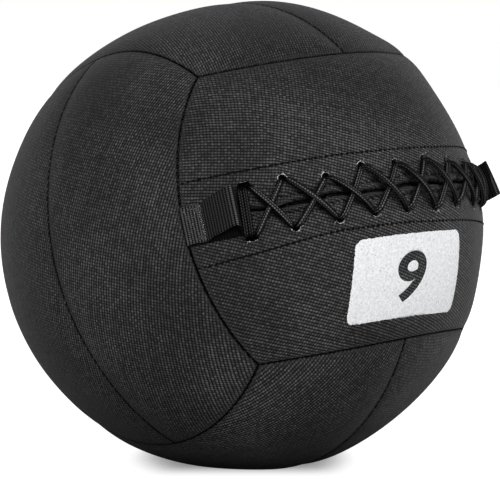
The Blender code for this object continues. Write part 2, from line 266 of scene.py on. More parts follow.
def finish_look(tree, shader, color, rough, height=None, depth=0.0):
    """Gives a shader its colour, roughness and, with a height, relief of some depth."""
    feed(tree, shader.inputs["Base Color"], color)
    feed(tree, shader.inputs["Roughness"], rough)
    if height is not None:
        made = add_node(tree, "ShaderNodeBump")
        made.inputs["Distance"].default_value = depth
        feed(tree, made.inputs["Height"], height)
        tree.links.new(made.outputs["Normal"], shader.inputs["Normal"])


def fibre_material(name, specular, scale, detail, edges, dark, light, rough_least,
                   rough_range):
    """Loose fibre: one noise that runs between two colours and two roughnesses."""
    material, tree, shader = new_material(name, rough_least, specular)
    fuzz = noise_node(tree, own_place(tree), scale, detail)
    finish_look(tree, shader, mix_colors(tree, ramp(tree, fuzz, *edges), dark, light),
                sum_node(tree, "MULTIPLY_ADD", fuzz, rough_range, rough_least))
    return material


float_socket, vector_socket = "NodeSocketFloat", "NodeSocketVector"
print("node helpers ready")

# %% [markdown]
# ## Studio
#
# The floor is plain white, and the world behind it is white for rays from the camera
# and for mirrored and transmitted ones. As light on the ball the world is far dimmer,
# and dimmest overhead. The floor glows for the same rays, so that it meets the backdrop
# without an edge.
#
# A shadow cast by lamps would be lost in that glow, so the glow itself fades where the
# ball hangs close over the floor, as a painted shadow. Ambient occlusion finds those
# places. Its normal leans to the light in front, which leaves the shadow at both sides of
# the ball and little of it in front, and for the camera the painted shadow is also faded
# out in front of the ball by distance. The floor's colour is painted dark under the ball,
# as painted shade, so that little light comes back from there, and mirrored rays see the
# glow fade over a wider ring.

# %% World and floor
sky_low, sky_high = 0.32, 0.05
floor_light = 0.62
paint_dark, paint_light = 70 * mm, 220 * mm
mirror_dark, mirror_light = 120 * mm, 700 * mm
shadow_height = 18 * mm
shadow_front, shadow_end = 12 * mm, 53 * mm
shadow_lean = (-0.60, -0.70, 0.39)
glow_range, glow_least = 0.77, 0.24


def largest(tree, *values):
    found = values[0]
    for value in values[1:]:
        found = sum_node(tree, "MAXIMUM", found, value)
    return found


def vector_value(tree, operation, first, second=None):
    """Length of a vector, or its dot product with a fixed one."""
    made = add_node(tree, "ShaderNodeVectorMath", operation=operation)
    tree.links.new(first, made.inputs[0])
    if second is not None:
        made.inputs[1].default_value = second
    return made.outputs["Value"]


world = bpy.data.worlds.new("studio")
bpy.context.scene.world = world
world.use_nodes = True
tree = world.node_tree
path = add_node(tree, "ShaderNodeLightPath").outputs
seen = largest(tree, path["Is Camera Ray"], path["Is Transmission Ray"],
               path["Is Glossy Ray"])
up = split_xyz(tree, add_node(tree, "ShaderNodeTexCoord").outputs["Generated"])[2]
ambient = sum_node(tree, "MULTIPLY_ADD", ramp(tree, up, 0.1, 0.9), sky_high - sky_low,
                   sky_low)
strength = add_node(tree, "ShaderNodeMapRange")
feed(tree, strength.inputs["Value"], seen)
feed(tree, strength.inputs["To Min"], ambient)
strength.inputs["To Max"].default_value = 1.0
background = tree.nodes["Background"]
tree.links.new(strength.outputs["Result"], background.inputs["Strength"])
background.inputs["Color"].default_value = grey(1.0)

bm = bmesh.new()
bmesh.ops.create_circle(bm, segments=64, radius=4.0, cap_ends=True)
floor_mesh = bpy.data.meshes.new("floor")
bm.to_mesh(floor_mesh)
bm.free()
floor = bpy.data.objects.new("floor", floor_mesh)
bpy.context.scene.collection.objects.link(floor)

floor_paint, tree, shader = new_material("floor_paint", 0.8, 0.1)
place = own_place(tree)
from_ball = vector_value(tree, "LENGTH", place)
# Painted shade: the floor's colour is dark under the ball and pale farther out.
pale = sum_node(tree, "MULTIPLY", ramp(tree, from_ball, paint_dark, paint_light),
                floor_light)
path = add_node(tree, "ShaderNodeLightPath").outputs
under = add_node(tree, "ShaderNodeAmbientOcclusion", samples=12)
under.inputs["Distance"].default_value = shadow_height
leaned = add_node(tree, "ShaderNodeCombineXYZ")
for socket, value in zip(leaned.inputs, shadow_lean):
    socket.default_value = value
tree.links.new(leaned.outputs[0], under.inputs["Normal"])
# For camera rays the painted shadow is faded out in front of the ball.
forward = vector_value(tree, "DOT_PRODUCT", place, way_to(camera_azimuth, 0))
in_front = sum_node(tree, "MULTIPLY", ramp(tree, forward, shadow_front, shadow_end),
                    path["Is Camera Ray"])
free = largest(tree, ramp(tree, under.outputs["AO"], 0.45, 0.95), in_front)
mirrored = sum_node(tree, "MULTIPLY",
                    largest(tree, path["Is Glossy Ray"], path["Is Transmission Ray"]),
                    ramp(tree, from_ball, mirror_dark, mirror_light))
glow = sum_node(tree, "MULTIPLY",
                sum_node(tree, "MULTIPLY_ADD", free, glow_range, glow_least),
                largest(tree, path["Is Camera Ray"], mirrored))
for value, name in ((glow, "Emission Color"), (pale, "Base Color")):
    made = add_node(tree, "ShaderNodeCombineColor")
    for channel in made.inputs[:3]:
        feed(tree, channel, value)
    tree.links.new(made.outputs[0], shader.inputs[name])
shader.inputs["Emission Strength"].default_value = 1.0
floor_mesh.materials.append(floor_paint)
print("floor", floor_mesh.name, "and world", world.name)


# %% [markdown]
# ## Lamps
#
# Soft boxes give black vinyl its even sheen. The main one stands over the camera and
# is small for its distance, so that the lace throws a shadow. A weaker one lights the
# right edge of the ball, and a still weaker one behind on the left lifts that edge off
# the background.

# %% Soft boxes
def soft_box(name, azimuth, elevation, distance, size, power):
    lamp = bpy.data.lights.new(name, "AREA")
    lamp.shape = "SQUARE"
    lamp.size = size
    lamp.energy = power
    box = bpy.data.objects.new(name, lamp)
    stand_off(box, azimuth, elevation, distance)
    return box


soft_boxes = [
    soft_box("main_box", -36, 27, 1.6, 0.5, 21),
    soft_box("side_box", 66, 6, 1.4, 0.5, 6),
    soft_box("rim_box", -140, 1, 1.6, 0.6, 3.5),
]
print("lamps:", [box.name for box in soft_boxes])

# %% [markdown]
# ## Woven look
#
# The vinyl is embossed like a plain weave: along each row a long bright dash, where
# the row's thread lies on top, is followed by a small dot, where the crossing thread
# does. Real threads would be millions of faces, so a shader group works them out from
# a flat map on each panel that is measured in metres. It is used again on the cloth
# inside the ball, at other sizes.

# %% Weave group
weave, start, end = new_group(
    "plain_weave",
    [("Vector", vector_socket, None), ("Row Pitch", float_socket, 0.00203),
     ("Dash Pitch", float_socket, 0.00215), ("Wander", float_socket, 0.0009),
     ("Grain", float_socket, 0.41)],
    [("Height", float_socket), ("Dash", float_socket), ("Tone", float_socket)])
tree = weave
drift = split_xyz(tree, noise_node(tree, start["Vector"], 95, output="Color"))
turned = add_node(tree, "ShaderNodeVectorRotate", rotation_type="Z_AXIS")
tree.links.new(start["Vector"], turned.inputs["Vector"])
tree.links.new(start["Grain"], turned.inputs["Angle"])
cloth_place = split_xyz(tree, turned.outputs[0])


def thread_count(place, shift, pitch):
    moved = sum_node(tree, "MULTIPLY_ADD",
                     sum_node(tree, "SUBTRACT", shift, 0.5), start["Wander"], place)
    return sum_node(tree, "DIVIDE", moved, pitch)


a = thread_count(cloth_place[0], drift[0], start["Dash Pitch"])
b = thread_count(cloth_place[1], drift[1], start["Row Pitch"])
cell_a, cell_b = sum_node(tree, "FLOOR", a), sum_node(tree, "FLOOR", b)
hump_a, hump_b = arch(tree, a), arch(tree, b)
odd = sum_node(tree, "FLOORED_MODULO", sum_node(tree, "ADD", cell_a, cell_b), 2.0)
even = sum_node(tree, "SUBTRACT", 1.0, odd)
long_a = sum_node(tree, "POWER", hump_a, 0.4)
thin_a = sum_node(tree, "POWER", hump_a, 0.6)
deep_b = sum_node(tree, "POWER", hump_b, 1.3)
dash = sum_node(tree, "MULTIPLY", sum_node(tree, "MULTIPLY", long_a, deep_b), even)
dot = sum_node(tree, "MULTIPLY", sum_node(tree, "MULTIPLY", thin_a, deep_b), odd)
height = sum_node(tree, "MULTIPLY_ADD", dot, 0.75, dash)
cells = add_node(tree, "ShaderNodeCombineXYZ")
feed(tree, cells.inputs[0], cell_a)
feed(tree, cells.inputs[1], cell_b)
spot = add_node(tree, "ShaderNodeTexWhiteNoise", noise_dimensions="3D")
tree.links.new(cells.outputs[0], spot.inputs["Vector"])
row_spot = add_node(tree, "ShaderNodeTexWhiteNoise", noise_dimensions="1D")
feed(tree, row_spot.inputs["W"], cell_b)
tone = sum_node(tree, "MULTIPLY_ADD", spot.outputs["Value"], 0.55,
                sum_node(tree, "MULTIPLY", row_spot.outputs["Value"], 0.2))
feed(tree, end["Height"], height)
feed(tree, end["Dash"], sum_node(tree, "MULTIPLY_ADD", dot, 0.84, dash))
feed(tree, end["Tone"], sum_node(tree, "ADD", tone, 0.45))
print("group:", weave.name, len(weave.nodes), "nodes")

# %% [markdown]
# ## Wear
#
# Handled vinyl goes lighter and smoother where it rubs. The group mixes two sizes of soft
# noise into a mask that every finish uses with its own values.

# %% Wear group
wear, start, end = new_group(
    "soft_wear", [("Vector", vector_socket, None), ("Scale", float_socket, 9.0)],
    [("Patches", float_socket), ("Specks", float_socket)])
tree = wear
broad = noise_node(tree, start["Vector"], start["Scale"], 3.0)
fine = noise_node(tree, start["Vector"], 900, 1.0)
feed(tree, end["Patches"], ramp(tree, broad, 0.35, 0.68))
feed(tree, end["Specks"], ramp(tree, fine, 0.66, 0.74))
print("group:", wear.name, len(wear.nodes), "nodes")

# %% [markdown]
# ## Cover vinyl
#
# Black vinyl is never one black. The tops of the threads get a painted highlight and are
# shinier than the hollows between them, each panel has a faint cloudy tone, and the rolled
# edge beside a seam is a little scuffed. Over the last few millimetres to a seam the vinyl
# gets painted shade, and towards the ball's outline a painted sheen. The mesh carries its
# distance from the seam as an attribute for that. The front panels also carry how far each
# point lies from the stitched line, where the dimples of the needle holes get painted
# shade, and how near it is to the lace, whose painted shadow darkens the vinyl beside it.
# Towards the floor the vinyl is darker, as painted shade.

# %% Cover vinyl
facing_stitch_pitch = 3.9 * mm
cover_vinyl, tree, shader = new_material("cover_vinyl", 0.5, 0.045)
cloth = flat_map(tree, "cloth")
place = own_place(tree)
threads = use_group(tree, weave, Vector=cloth)
marks = use_group(tree, wear, Vector=place)
depth = sum_node(tree, "MULTIPLY_ADD", marks["Patches"], 0.6, 0.68)
shine = sum_node(tree, "MULTIPLY", sum_node(tree, "MULTIPLY", threads["Dash"],
                                            threads["Tone"]), depth)
# Painted highlight: the thread tops are mixed towards a light grey.
color = mix_colors(tree, sum_node(tree, "POWER", shine, 1.3),
                   grey(0.0042, 0.0044), grey(0.106, 0.107))
# Painted sheen: lighter towards the outline, where the surface turns away from the eye.
color = lay_over(tree, color, ramp(tree, turned_away(tree), 0.36, 0.95), 0.3,
                 grey(0.120, 0.121))

nibble = noise_node(tree, place, 420)
from_seam = sum_node(tree, "MULTIPLY_ADD", sum_node(tree, "SUBTRACT", nibble, 0.5),
                     -1.6 * mm, mesh_value(tree, "from_seam"))
scuff = sum_node(tree, "MULTIPLY", ramp(tree, from_seam, 1.0 * mm, 1.6 * mm),
                 fall(tree, from_seam, 1.8 * mm, 5.0 * mm))
# Painted shade over the last 6 mm before a seam.
color = lay_over(tree, color, fall(tree, from_seam, 0.6 * mm, 6.0 * mm), 0.5, grey(0.0025))
color = lay_over(tree, color, scuff, 0.22, grey(0.060))
color = lay_over(tree, color, fall(tree, from_seam, 0.4 * mm, 1.1 * mm), 1.0, grey(0.0015))

off_line = sum_node(tree, "ABSOLUTE", sum_node(
    tree, "SUBTRACT", mesh_value(tree, "line_place"), 1.0))
stitch = sum_node(tree, "DIVIDE", split_xyz(tree, cloth)[0], facing_stitch_pitch)
stitch_spot = add_node(tree, "ShaderNodeTexWhiteNoise", noise_dimensions="1D")
feed(tree, stitch_spot.inputs["W"], sum_node(tree, "FLOOR", stitch))
pull = sum_node(tree, "MULTIPLY", sum_node(tree, "POWER", arch(tree, stitch), 2.0),
                sum_node(tree, "MULTIPLY_ADD", stitch_spot.outputs["Value"], 0.6, 0.7))
pull = sum_node(tree, "MULTIPLY_ADD", pull, 1.35 * mm, 0.02 * mm)
# Painted shade in the dimples of the needle holes along the stitched line.
hole = fall(tree, sum_node(tree, "DIVIDE", off_line, pull), 0.5, 1.0)
color = lay_over(tree, color, hole, 0.97, grey(0.0012))
# Painted shadow of the lace on the vinyl beside each strand.
color = lay_over(tree, color, mesh_value(tree, "lace_painted_shadow"), 0.85, grey(0.0020))
# Painted shade: the vinyl is darker towards the floor, near black in the last millimetre.
floor_painted_shade = fall(tree, split_xyz(tree, place)[2], 1.0 * mm, 11.0 * mm)
color = lay_over(tree, color, floor_painted_shade, 1.0, grey(0.0006))
rough = sum_node(tree, "MULTIPLY_ADD", shine, -0.10, 0.64)
rough = sum_node(tree, "MULTIPLY_ADD", marks["Patches"], 0.06, rough)
rough = sum_node(tree, "MULTIPLY_ADD", floor_painted_shade, 0.35, rough)
finish_look(tree, shader, color, rough, threads["Height"], 0.5 * mm)
print("material:", cover_vinyl.name)

# %% [markdown]
# ## How one panel lies on the sphere
#
# Twelve equal panels cover the ball, two to each face of a cube blown up round. One
# master panel is enough: it is a patch stretched between four seams, and the other
# eleven are turned copies. Each seam is an arc, so the patch blends its four edges
# and pushes the result out to the sphere.

# %% Seams of the master panel
def unit(vectors):
    return vectors / np.linalg.norm(vectors, axis=-1, keepdims=True)


def arc_through(first_end, middle, last_end):
    normal = unit(np.cross(middle - first_end, last_end - first_end))
    hub = normal * (normal @ first_end)
    radius = np.linalg.norm(first_end - hub)
    first = unit(first_end - hub)
    second = np.cross(normal, first)
    spoke = last_end - hub
    sweep = math.atan2(spoke @ second, spoke @ first) % math.tau

    def point(share):
        turn = (sweep * np.asarray(share, float))[..., None]
        return hub + radius * (np.cos(turn) * first + np.sin(turn) * second)

    return point, radius * sweep * half_width


mid_half_angle = math.pi / 4 + seam_bow
far_angle = math.pi / 4 - seam_bow
corner_high_left = unit(np.array([-1.0, -1, 1]))
corner_high_right = unit(np.array([1.0, -1, 1]))
corner_low_left = unit(np.array([-1.0, -1, -1]))
junction_left = np.array([-math.sin(mid_half_angle), -math.cos(mid_half_angle), 0])
far_middle = np.array([0, -math.cos(far_angle), math.sin(far_angle)])
far_arc, far_length = arc_through(corner_high_left, far_middle, corner_high_right)
side_arc, side_length = arc_through(corner_low_left, junction_left, corner_high_left)
mid_length = 2 * mid_half_angle * half_width
panel_height = side_length / 2
print(f"slit seam {mid_length / mm:.0f} mm, side seam {side_length / mm:.0f} mm")


# %% Points of the master panel
def left_edge(share):
    return side_arc((1 + np.asarray(share, float)) / 2)


def right_edge(share):
    return left_edge(share) * np.array([-1, 1, 1])


def mid_seam(share):
    angle = mid_half_angle * (2 * share - 1)
    return np.stack([np.sin(angle), -np.cos(angle), 0 * angle], -1)


def patch_direction(s, t):
    rails = mid_seam(s) * (1 - t[:, None]) + far_arc(s) * t[:, None]
    sides = left_edge(t) * (1 - s[:, None]) + right_edge(t) * s[:, None]
    low = junction_left * (1 - s[:, None]) + right_edge(0.0) * s[:, None]
    high = corner_high_left * (1 - s[:, None]) + corner_high_right * s[:, None]
    return unit(rails + sides - low * (1 - t[:, None]) - high * t[:, None])


pillow_depth, pillow_reach = 1.7 * mm, 22 * mm
roll_depth, roll_reach = 2.4 * mm, 1.4 * mm


def seam_depth(distance):
    """How far the vinyl drops towards a seam: a low pillow, then a tight rolled edge."""
    pillow = pillow_depth * np.maximum(0, 1 - distance / pillow_reach) ** 2
    roll = roll_depth * np.maximum(0, 1 - distance / roll_reach) ** 2
    return pillow + roll


def crowd_ends(share, amount):
    """Even shares from 0 to 1, drawn closer together towards both ends."""
    return share - amount * np.sin(math.tau * share) / math.tau


print("master panel ready")

# %% [markdown]
# ## A ball that has been thrown
#
# A new ball would be smooth. This one has a slack spot on top and fuller shoulders,
# so its surface is pushed in and out by a few broad swells, with a little seeded
# unevenness over all of it. The swells read directions from the ball's centre, so
# they run on across the seams.

# %% Swells and unevenness
swells = [  # azimuth, elevation, reach in degrees, height in metres
    (-60, 80, 22, -2.2 * mm), (44, 44, 26, 1.6 * mm), (-136, -10, 24, 1.2 * mm),
    (44, -20, 26, 1.4 * mm), (-90, 40, 26, 1.0 * mm), (150, 15, 30, -1.5 * mm),
    (41, -3, 9, -0.6 * mm), (41, 1, 17, -0.7 * mm), (44, 21, 17, -1.3 * mm),
    (46, 40, 17, 0.9 * mm), (48, 60, 17, 0.9 * mm), (55, 80, 17, 1.8 * mm),
    (-140, 80, 17, -0.5 * mm),
    (-133, 60, 17, -3.0 * mm), (-131, 40, 17, -0.3 * mm), (-128, 21, 17, -1.2 * mm),
    (-126, 1, 17, 0.4 * mm), (-123, -19, 17, 0.2 * mm), (-108, -57, 17, 0.5 * mm),
    (-77, -73, 17, -2.0 * mm), (-7, -73, 17, 1.0 * mm), (23, -57, 17, 0.4 * mm),
    (46, 49, 6, 2.2 * mm), (45, 34, 9, -1.9 * mm), (41, 5, 8, 1.6 * mm),
    (41, -12, 8, -1.0 * mm), (-135, 73, 9, -0.9 * mm), (-118, -42, 11, -0.8 * mm),
    (-30, -80, 9, -3.4 * mm)]
small_wave = 0.22 * mm
seeded = np.random.default_rng(11)
wave_ways = seeded.normal(size=(14, 3)) * 4.2
wave_starts = seeded.uniform(0, math.tau, 14)


def unevenness(points):
    directions = unit(points - centre)
    rise = small_wave * np.sin(directions @ wave_ways.T + wave_starts).sum(1)
    for azimuth, elevation, reach, height in swells:
        away = directions @ way_to(azimuth, elevation)
        angle = np.degrees(np.arccos(np.clip(away, -1, 1)))
        rise += height * np.exp(-(angle / reach) ** 2)
    return rise


print("swells:", len(swells))

# %% [markdown]
# ## The laced slit
#
# The two front panels are hemmed along the slit. Between the crossings of the lace
# the hems swell into lips, and where the lace presses they are pinched. Fine wrinkles
# run along them, and each pair of holes is pulled in a little.

# %% Sizes of the lacing
lace_diameter = 3.0 * mm
lace_gap = 0.75 * mm
lace_pairs = 9
tab_foot_from_seam = 38.5 * mm
lace_to_tab = 13.5 * mm
lace_pitch = (mid_length - 2 * (tab_foot_from_seam + lace_to_tab)) / (lace_pairs - 1)
lace_shift = -6.0 * mm
hole_offset = 16.0 * mm
outside_bend = 1.6 * mm
inside_bend = 2.0 * mm
lace_tail = 14 * mm
slot_step = lace_diameter + lace_gap
strand_step = 3.3 * mm
solid_seam_depth = 6.0 * mm
hem_depth = solid_seam_depth + cover_wall
lace_inside_depth = hem_depth + touch_gap + lace_diameter / 2
lace_inner_depth = lace_inside_depth + slot_step
narrow_slot = 0.85
upper_nudges = np.array([(-1.2, 0.8), (-2.6, 1.2), (-1.5, -2.6), (-1.8, 1.2), (-1.3, 0),
                         (-1.5, 1.2), (-3.0, -1.6), (-2.4, -1.6), (0, -1.0)]) * mm
lower_nudges = np.array([(-2.9, -1.0), (-1.4, 0), (1.6, 0.3), (0.9, 0.9), (0.6, 0),
                         (0, -1.3), (-1.6, 0.2), (1.6, -0.4), (-0.4, -1.4)]) * mm


def hole_place(index, side):
    nudge = (upper_nudges if side > 0 else lower_nudges)[index]
    along = lace_shift + (index - (lace_pairs - 1) / 2) * lace_pitch
    return along + nudge[0], side * hole_offset + nudge[1]


def strands_in_slot(index):
    return 3 if index in (0, lace_pairs - 1) else 2


def strand_place(index, order, side):
    along, across = hole_place(index, side)
    step = strand_step * (1 if strands_in_slot(index) == 3 else narrow_slot)
    return along + (order - (strands_in_slot(index) - 1) / 2) * step, across


last = lace_pairs - 1
shade_side = (0.8 * mm, 0.9 * mm)
shade_reach = 2.5 * mm
outside_strands = [(strand_place(0, order, 1), strand_place(0, order, -1))
                   for order in (0, 1)]
outside_strands += [(strand_place(last, order, 1), strand_place(last, order, -1))
                    for order in (1, 2)]
for index in range(last):
    outside_strands.append((strand_place(index, strands_in_slot(index) - 1, 1),
                            strand_place(index + 1, 0, -1)))
    outside_strands.append((strand_place(index + 1, 0, 1),
                            strand_place(index, strands_in_slot(index) - 1, -1)))


def lace_nearness(along, across):
    """1 under a strand and beside it on its shaded side, falling to 0 away from it."""
    nearest = np.full(along.shape, 1.0)
    for (a0, b0), (a1, b1) in outside_strands:
        run, rise = a1 - a0, b1 - b0
        off_a, off_b = along - a0 + shade_side[0], across - b0 + shade_side[1]
        share = np.clip((off_a * run + off_b * rise) / (run * run + rise * rise), 0, 1)
        nearest = np.minimum(nearest, np.hypot(off_a - share * run, off_b - share * rise))
    return np.exp(-(nearest / shade_reach) ** 4)


print("upper holes at", [round(hole_place(i, 1)[0] / mm) for i in range(lace_pairs)], "mm")

# %% Relief of the slit's lips
wrinkles = [  # length along, length across, lean, height
    (34 * mm, 4.4 * mm, 0.0, 0.34 * mm), (52 * mm, 6.1 * mm, 1.3, 0.30 * mm),
    (23 * mm, 3.3 * mm, 2.6, 0.20 * mm), (41 * mm, 8.7 * mm, 4.1, 0.34 * mm)]
wrinkle_rise = 1.4
slit_half_length = 131 * mm
hem_from_slit, hem_sway, hem_sway_length = 6.2 * mm, 0.7 * mm, 9 * mm
hem_groove, line_groove_depth, groove_width = 1.5 * mm, 0.28 * mm, 0.9 * mm
mouth_depth, mouth_width = 2.2 * mm, 1.2 * mm
dimple, dimple_width = 0.9 * mm, 2.6 * mm
dimple_rim, rim_way, rim_width = 0.55 * mm, 4.3 * mm, 1.3 * mm


def soft_step(value, low, high):
    share = np.clip((value - low) / (high - low), 0, 1)
    return share * share * (3 - 2 * share)


def slit_wander(along):
    reach = soft_step(132 * mm - np.abs(along), 0, 14 * mm)
    return reach * (0.9 * mm * np.sin(along / (11.5 * mm) + 0.8)
                    + 0.5 * mm * np.sin(along / (4.7 * mm) + 2.0))


def bell(distance, width):
    return np.exp(-(distance / width) ** 2)


def hem_drift(along, side):
    return hem_sway * np.sin(along / hem_sway_length + 2.2 * side)


def hem_way(along, side):
    return hem_from_slit + hem_drift(along, side)


def slit_relief(along, across, side):
    """Extra height of a front panel beside the slit."""
    reach = soft_step(slit_half_length - np.abs(along), 0, 12 * mm)
    beat = np.cos(math.tau * (along - lace_shift) / lace_pitch)
    drift = hem_drift(along, side)
    lip = (1.1 * mm + 0.7 * mm * beat) * bell(across - 3.0 * mm - drift / 2, 1.7 * mm)
    ridge = (0.7 * mm + 0.6 * mm * beat) * bell(across - 9.4 * mm - drift, 1.9 * mm)
    hem = -hem_groove * bell(across - hem_way(along, side), groove_width)
    mouth = -mouth_depth * bell(across, mouth_width)
    rise = lip + ridge + hem + mouth
    fade = bell(across, 13 * mm) * soft_step(across, 0, 2.5 * mm)
    for along_length, across_length, lean, height in wrinkles:
        turn = math.tau * (across / across_length + along / along_length)
        rise += wrinkle_rise * fade * height * np.sin(
            turn + lean + (0 if side > 0 else 1.9))
    for index in range(lace_pairs):
        hole_along, hole_across = hole_place(index, side)
        apart = np.hypot((along - hole_along) / 1.35, across - side * hole_across)
        rise += (dimple_rim * bell(apart - rim_way, rim_width)
                 - dimple * bell(apart, dimple_width))
    return rise * reach


def line_way(along, side):
    """Where the stitches that hold the facing run beside the slit."""
    if side > 0:
        places = [-162, -110, -52, -30, 0, 39, 96, 162]
        ways = [28, 27.6, 27.4, 26.5, 26.2, 25.0, 25.8, 27]
    else:
        places = [-160, -135, -105, -63, -43, -15, 20, 103, 162]
        ways = [31, 29.6, 27.2, 23.2, 24.4, 24.6, 26.6, 28.6, 29]
    near = [np.interp(along + step * mm, np.array(places) * mm, np.array(ways) * mm)
            for step in (-12, -6, 0, 6, 12)]
    return sum(near) / len(near)


def line_groove(along, across, side):
    return -line_groove_depth * bell(across - line_way(along, side), groove_width)


def slit_opening(along):
    """How far each lip stands back from the seam."""
    reach = soft_step(126 * mm - np.abs(along), 0, 30 * mm)
    return reach * (0.3 * mm + 0.25 * mm * np.sin(along / (13 * mm) + 1.0))


print("wrinkles:", len(wrinkles))

# %% [markdown]
# ## Making a panel
#
# Each panel starts as a flat grid. Its vertices are moved onto the master patch,
# pillowed between the seams and turned to their face of the ball. The grid is crowded
# towards the seams, where the edge rolls under, and the flat map for the weave is
# kept in metres along the panel's own threads.

# %% Panel maker
panel_places = {
    "front_upper_panel": ((0, -1, 0), (0, 0, 1)),
    "front_lower_panel": ((0, -1, 0), (0, 0, -1)),
    "back_upper_panel": ((0, 1, 0), (0, 0, 1)),
    "back_lower_panel": ((0, 1, 0), (0, 0, -1)),
    "left_front_panel": ((-1, 0, 0), (0, -1, 0)),
    "left_rear_panel": ((-1, 0, 0), (0, 1, 0)),
    "right_front_panel": ((1, 0, 0), (0, -1, 0)),
    "right_rear_panel": ((1, 0, 0), (0, 1, 0)),
    "top_left_panel": ((0, 0, 1), (-1, 0, 0)),
    "top_right_panel": ((0, 0, 1), (1, 0, 0)),
    "bottom_left_panel": ((0, 0, -1), (-1, 0, 0)),
    "bottom_right_panel": ((0, 0, -1), (1, 0, 0)),
}
plain_grid, front_grid = (120, 60), (380, 112)
seam_crowding, slit_crowding = 0.86, 0.45
slant_start, slant = 95 * mm, 0.2


def face_turn(face, side):
    face, side = np.array(face, float), np.array(side, float)
    return np.stack([np.cross(side, face), -face, side])


def mesh_points(mesh):
    points = np.empty(len(mesh.vertices) * 3)
    mesh.vertices.foreach_get("co", points)
    return points.reshape(-1, 3)


def set_points(mesh, points):
    mesh.vertices.foreach_set("co", np.ascontiguousarray(points, dtype=float).ravel())
    mesh.update()


def set_map(mesh, name, per_vertex):
    layer = mesh.uv_layers.get(name) or mesh.uv_layers.new(name=name)
    corners = np.empty(len(mesh.loops), dtype=np.int32)
    mesh.loops.foreach_get("vertex_index", corners)
    layer.data.foreach_set("uv", per_vertex[corners].astype(float).ravel())


def mark_points(mesh, name, values):
    """Stores one value per vertex for a material to read."""
    mesh.attributes.new(name, "FLOAT", "POINT").data.foreach_set("value", values)


def face_outwards(mesh):
    first = mesh.polygons[0]
    if first.normal.dot(first.center - Vector(centre)) < 0:
        mesh.flip_normals()


def grid_mesh(name, columns, rows):
    bm = bmesh.new()
    bmesh.ops.create_grid(bm, x_segments=columns, y_segments=rows, size=0.5)
    mesh = bpy.data.meshes.new(name)
    bm.to_mesh(mesh)
    bm.free()
    return mesh


def make_panel_sheet(name, columns, rows):
    face, side = panel_places[name]
    mesh = grid_mesh(name, columns, rows)
    shares = mesh_points(mesh)[:, :2] + 0.5
    front = name.startswith("front")
    t = crowd_ends(np.clip(shares[:, 1], 0, 1), seam_crowding)
    t = (seam_gap / 2 + t * (panel_height - seam_gap)) / panel_height
    width = mid_length + (far_length - mid_length) * t
    s = crowd_ends(np.clip(shares[:, 0], 0, 1), slit_crowding if front else seam_crowding)
    s = (seam_gap / 2 + s * (width - seam_gap)) / width
    nearest_side = np.minimum(s, 1 - s) * width
    nearest_rail = np.minimum(t, 1 - t) * panel_height
    nearest = np.minimum(nearest_side, nearest_rail)
    mitre = (nearest_side ** -5 + nearest_rail ** -5) ** (-1 / 5)
    directions = patch_direction(s, t)
    u = half_width * np.arcsin(directions[:, 0])
    v = half_width * np.arcsin(directions[:, 2])
    height = -seam_depth(np.minimum(nearest, mitre))
    if front:
        along = side[2] * u
        height += slit_relief(along, v, side[2]) + line_groove(along, v, side[2])
        sway = side[2] * slit_wander(along) * bell(v, 9 * mm)
        sway += slit_opening(along) * bell(v, 4 * mm)
        around = half_width * np.arctan2(directions[:, 0], -directions[:, 1])
        directions = along_across(around, v + sway)
    turned = directions @ face_turn(face, side)
    height += unevenness(settle(turned * half_width))
    points = settle(turned * (half_width + height[:, None]))
    points[:, 2] = np.maximum(points[:, 2], 0)
    set_points(mesh, points)
    face_outwards(mesh)
    upper = name == "front_upper_panel"
    slanted = slant * np.maximum(0, -slant_start - u) if upper else 0
    set_map(mesh, "cloth", np.stack([u, v + slanted], 1))
    mark_points(mesh, "from_seam", nearest)
    if front:
        mark_points(mesh, "line_place", 1.0 + v - line_way(along, side[2]))
        # The lace's painted shadow on the cover, by nearness to each strand.
        mark_points(mesh, "lace_painted_shadow", lace_nearness(along, side[2] * v))
    mesh.shade_smooth()
    return mesh


def show(name, mesh, materials, nodes=()):
    for material in materials:
        mesh.materials.append(material)
    piece = bpy.data.objects.new(name, mesh)
    bpy.context.scene.collection.objects.link(piece)
    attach(piece, "root")
    if nodes:
        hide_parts(*nodes)
    return piece


def give_wall(piece, thickness, offset=-1.0):
    wall = piece.modifiers.new("wall", "SOLIDIFY")
    wall.thickness = thickness
    wall.offset = offset
    wall.use_even_offset = False
    return wall


print("panel places:", len(panel_places))

# %% Ten plain panels
for name in panel_places:
    if not name.startswith("front"):
        panel = show(name + "_cover", make_panel_sheet(name, *plain_grid), [cover_vinyl],
                     [name])
        give_wall(panel, cover_wall)
        print(panel.name, len(panel.data.vertices), "points")

# %% [markdown]
# ## The two front panels and their punched holes
#
# The front panels have a finer grid. Each hole is cut with a short oval pin, so the
# cut edge shows the pale backing of the vinyl, as it does on the real ball. Before
# the holes are cut, the sheets are kept as a surface to lay the lace, the stitches
# and the print on.

# %% Raw edge of the vinyl
raw_edge, tree, shader = new_material("raw_edge", 0.9, 0.1)
fibre = noise_node(tree, own_place(tree), 1400, 3.0)
color = mix_colors(tree, ramp(tree, fibre, 0.35, 0.7), (0.03, 0.027, 0.024, 1),
                   (0.13, 0.11, 0.09, 1))
finish_look(tree, shader, color, 0.9, fibre, 0.3 * mm)
print("material:", raw_edge.name)

# %% Front panels
front_sheets = {name: make_panel_sheet(name, *front_grid)
                for name in ("front_upper_panel", "front_lower_panel")}


def surface_of(meshes):
    points, faces, start = [], [], 0
    for mesh in meshes:
        points += [tuple(vert.co) for vert in mesh.vertices]
        faces += [[start + index for index in face.vertices] for face in mesh.polygons]
        start += len(mesh.vertices)
    return BVHTree.FromPolygons(points, faces)


front_surface = surface_of(front_sheets.values())
probe = 25 * mm


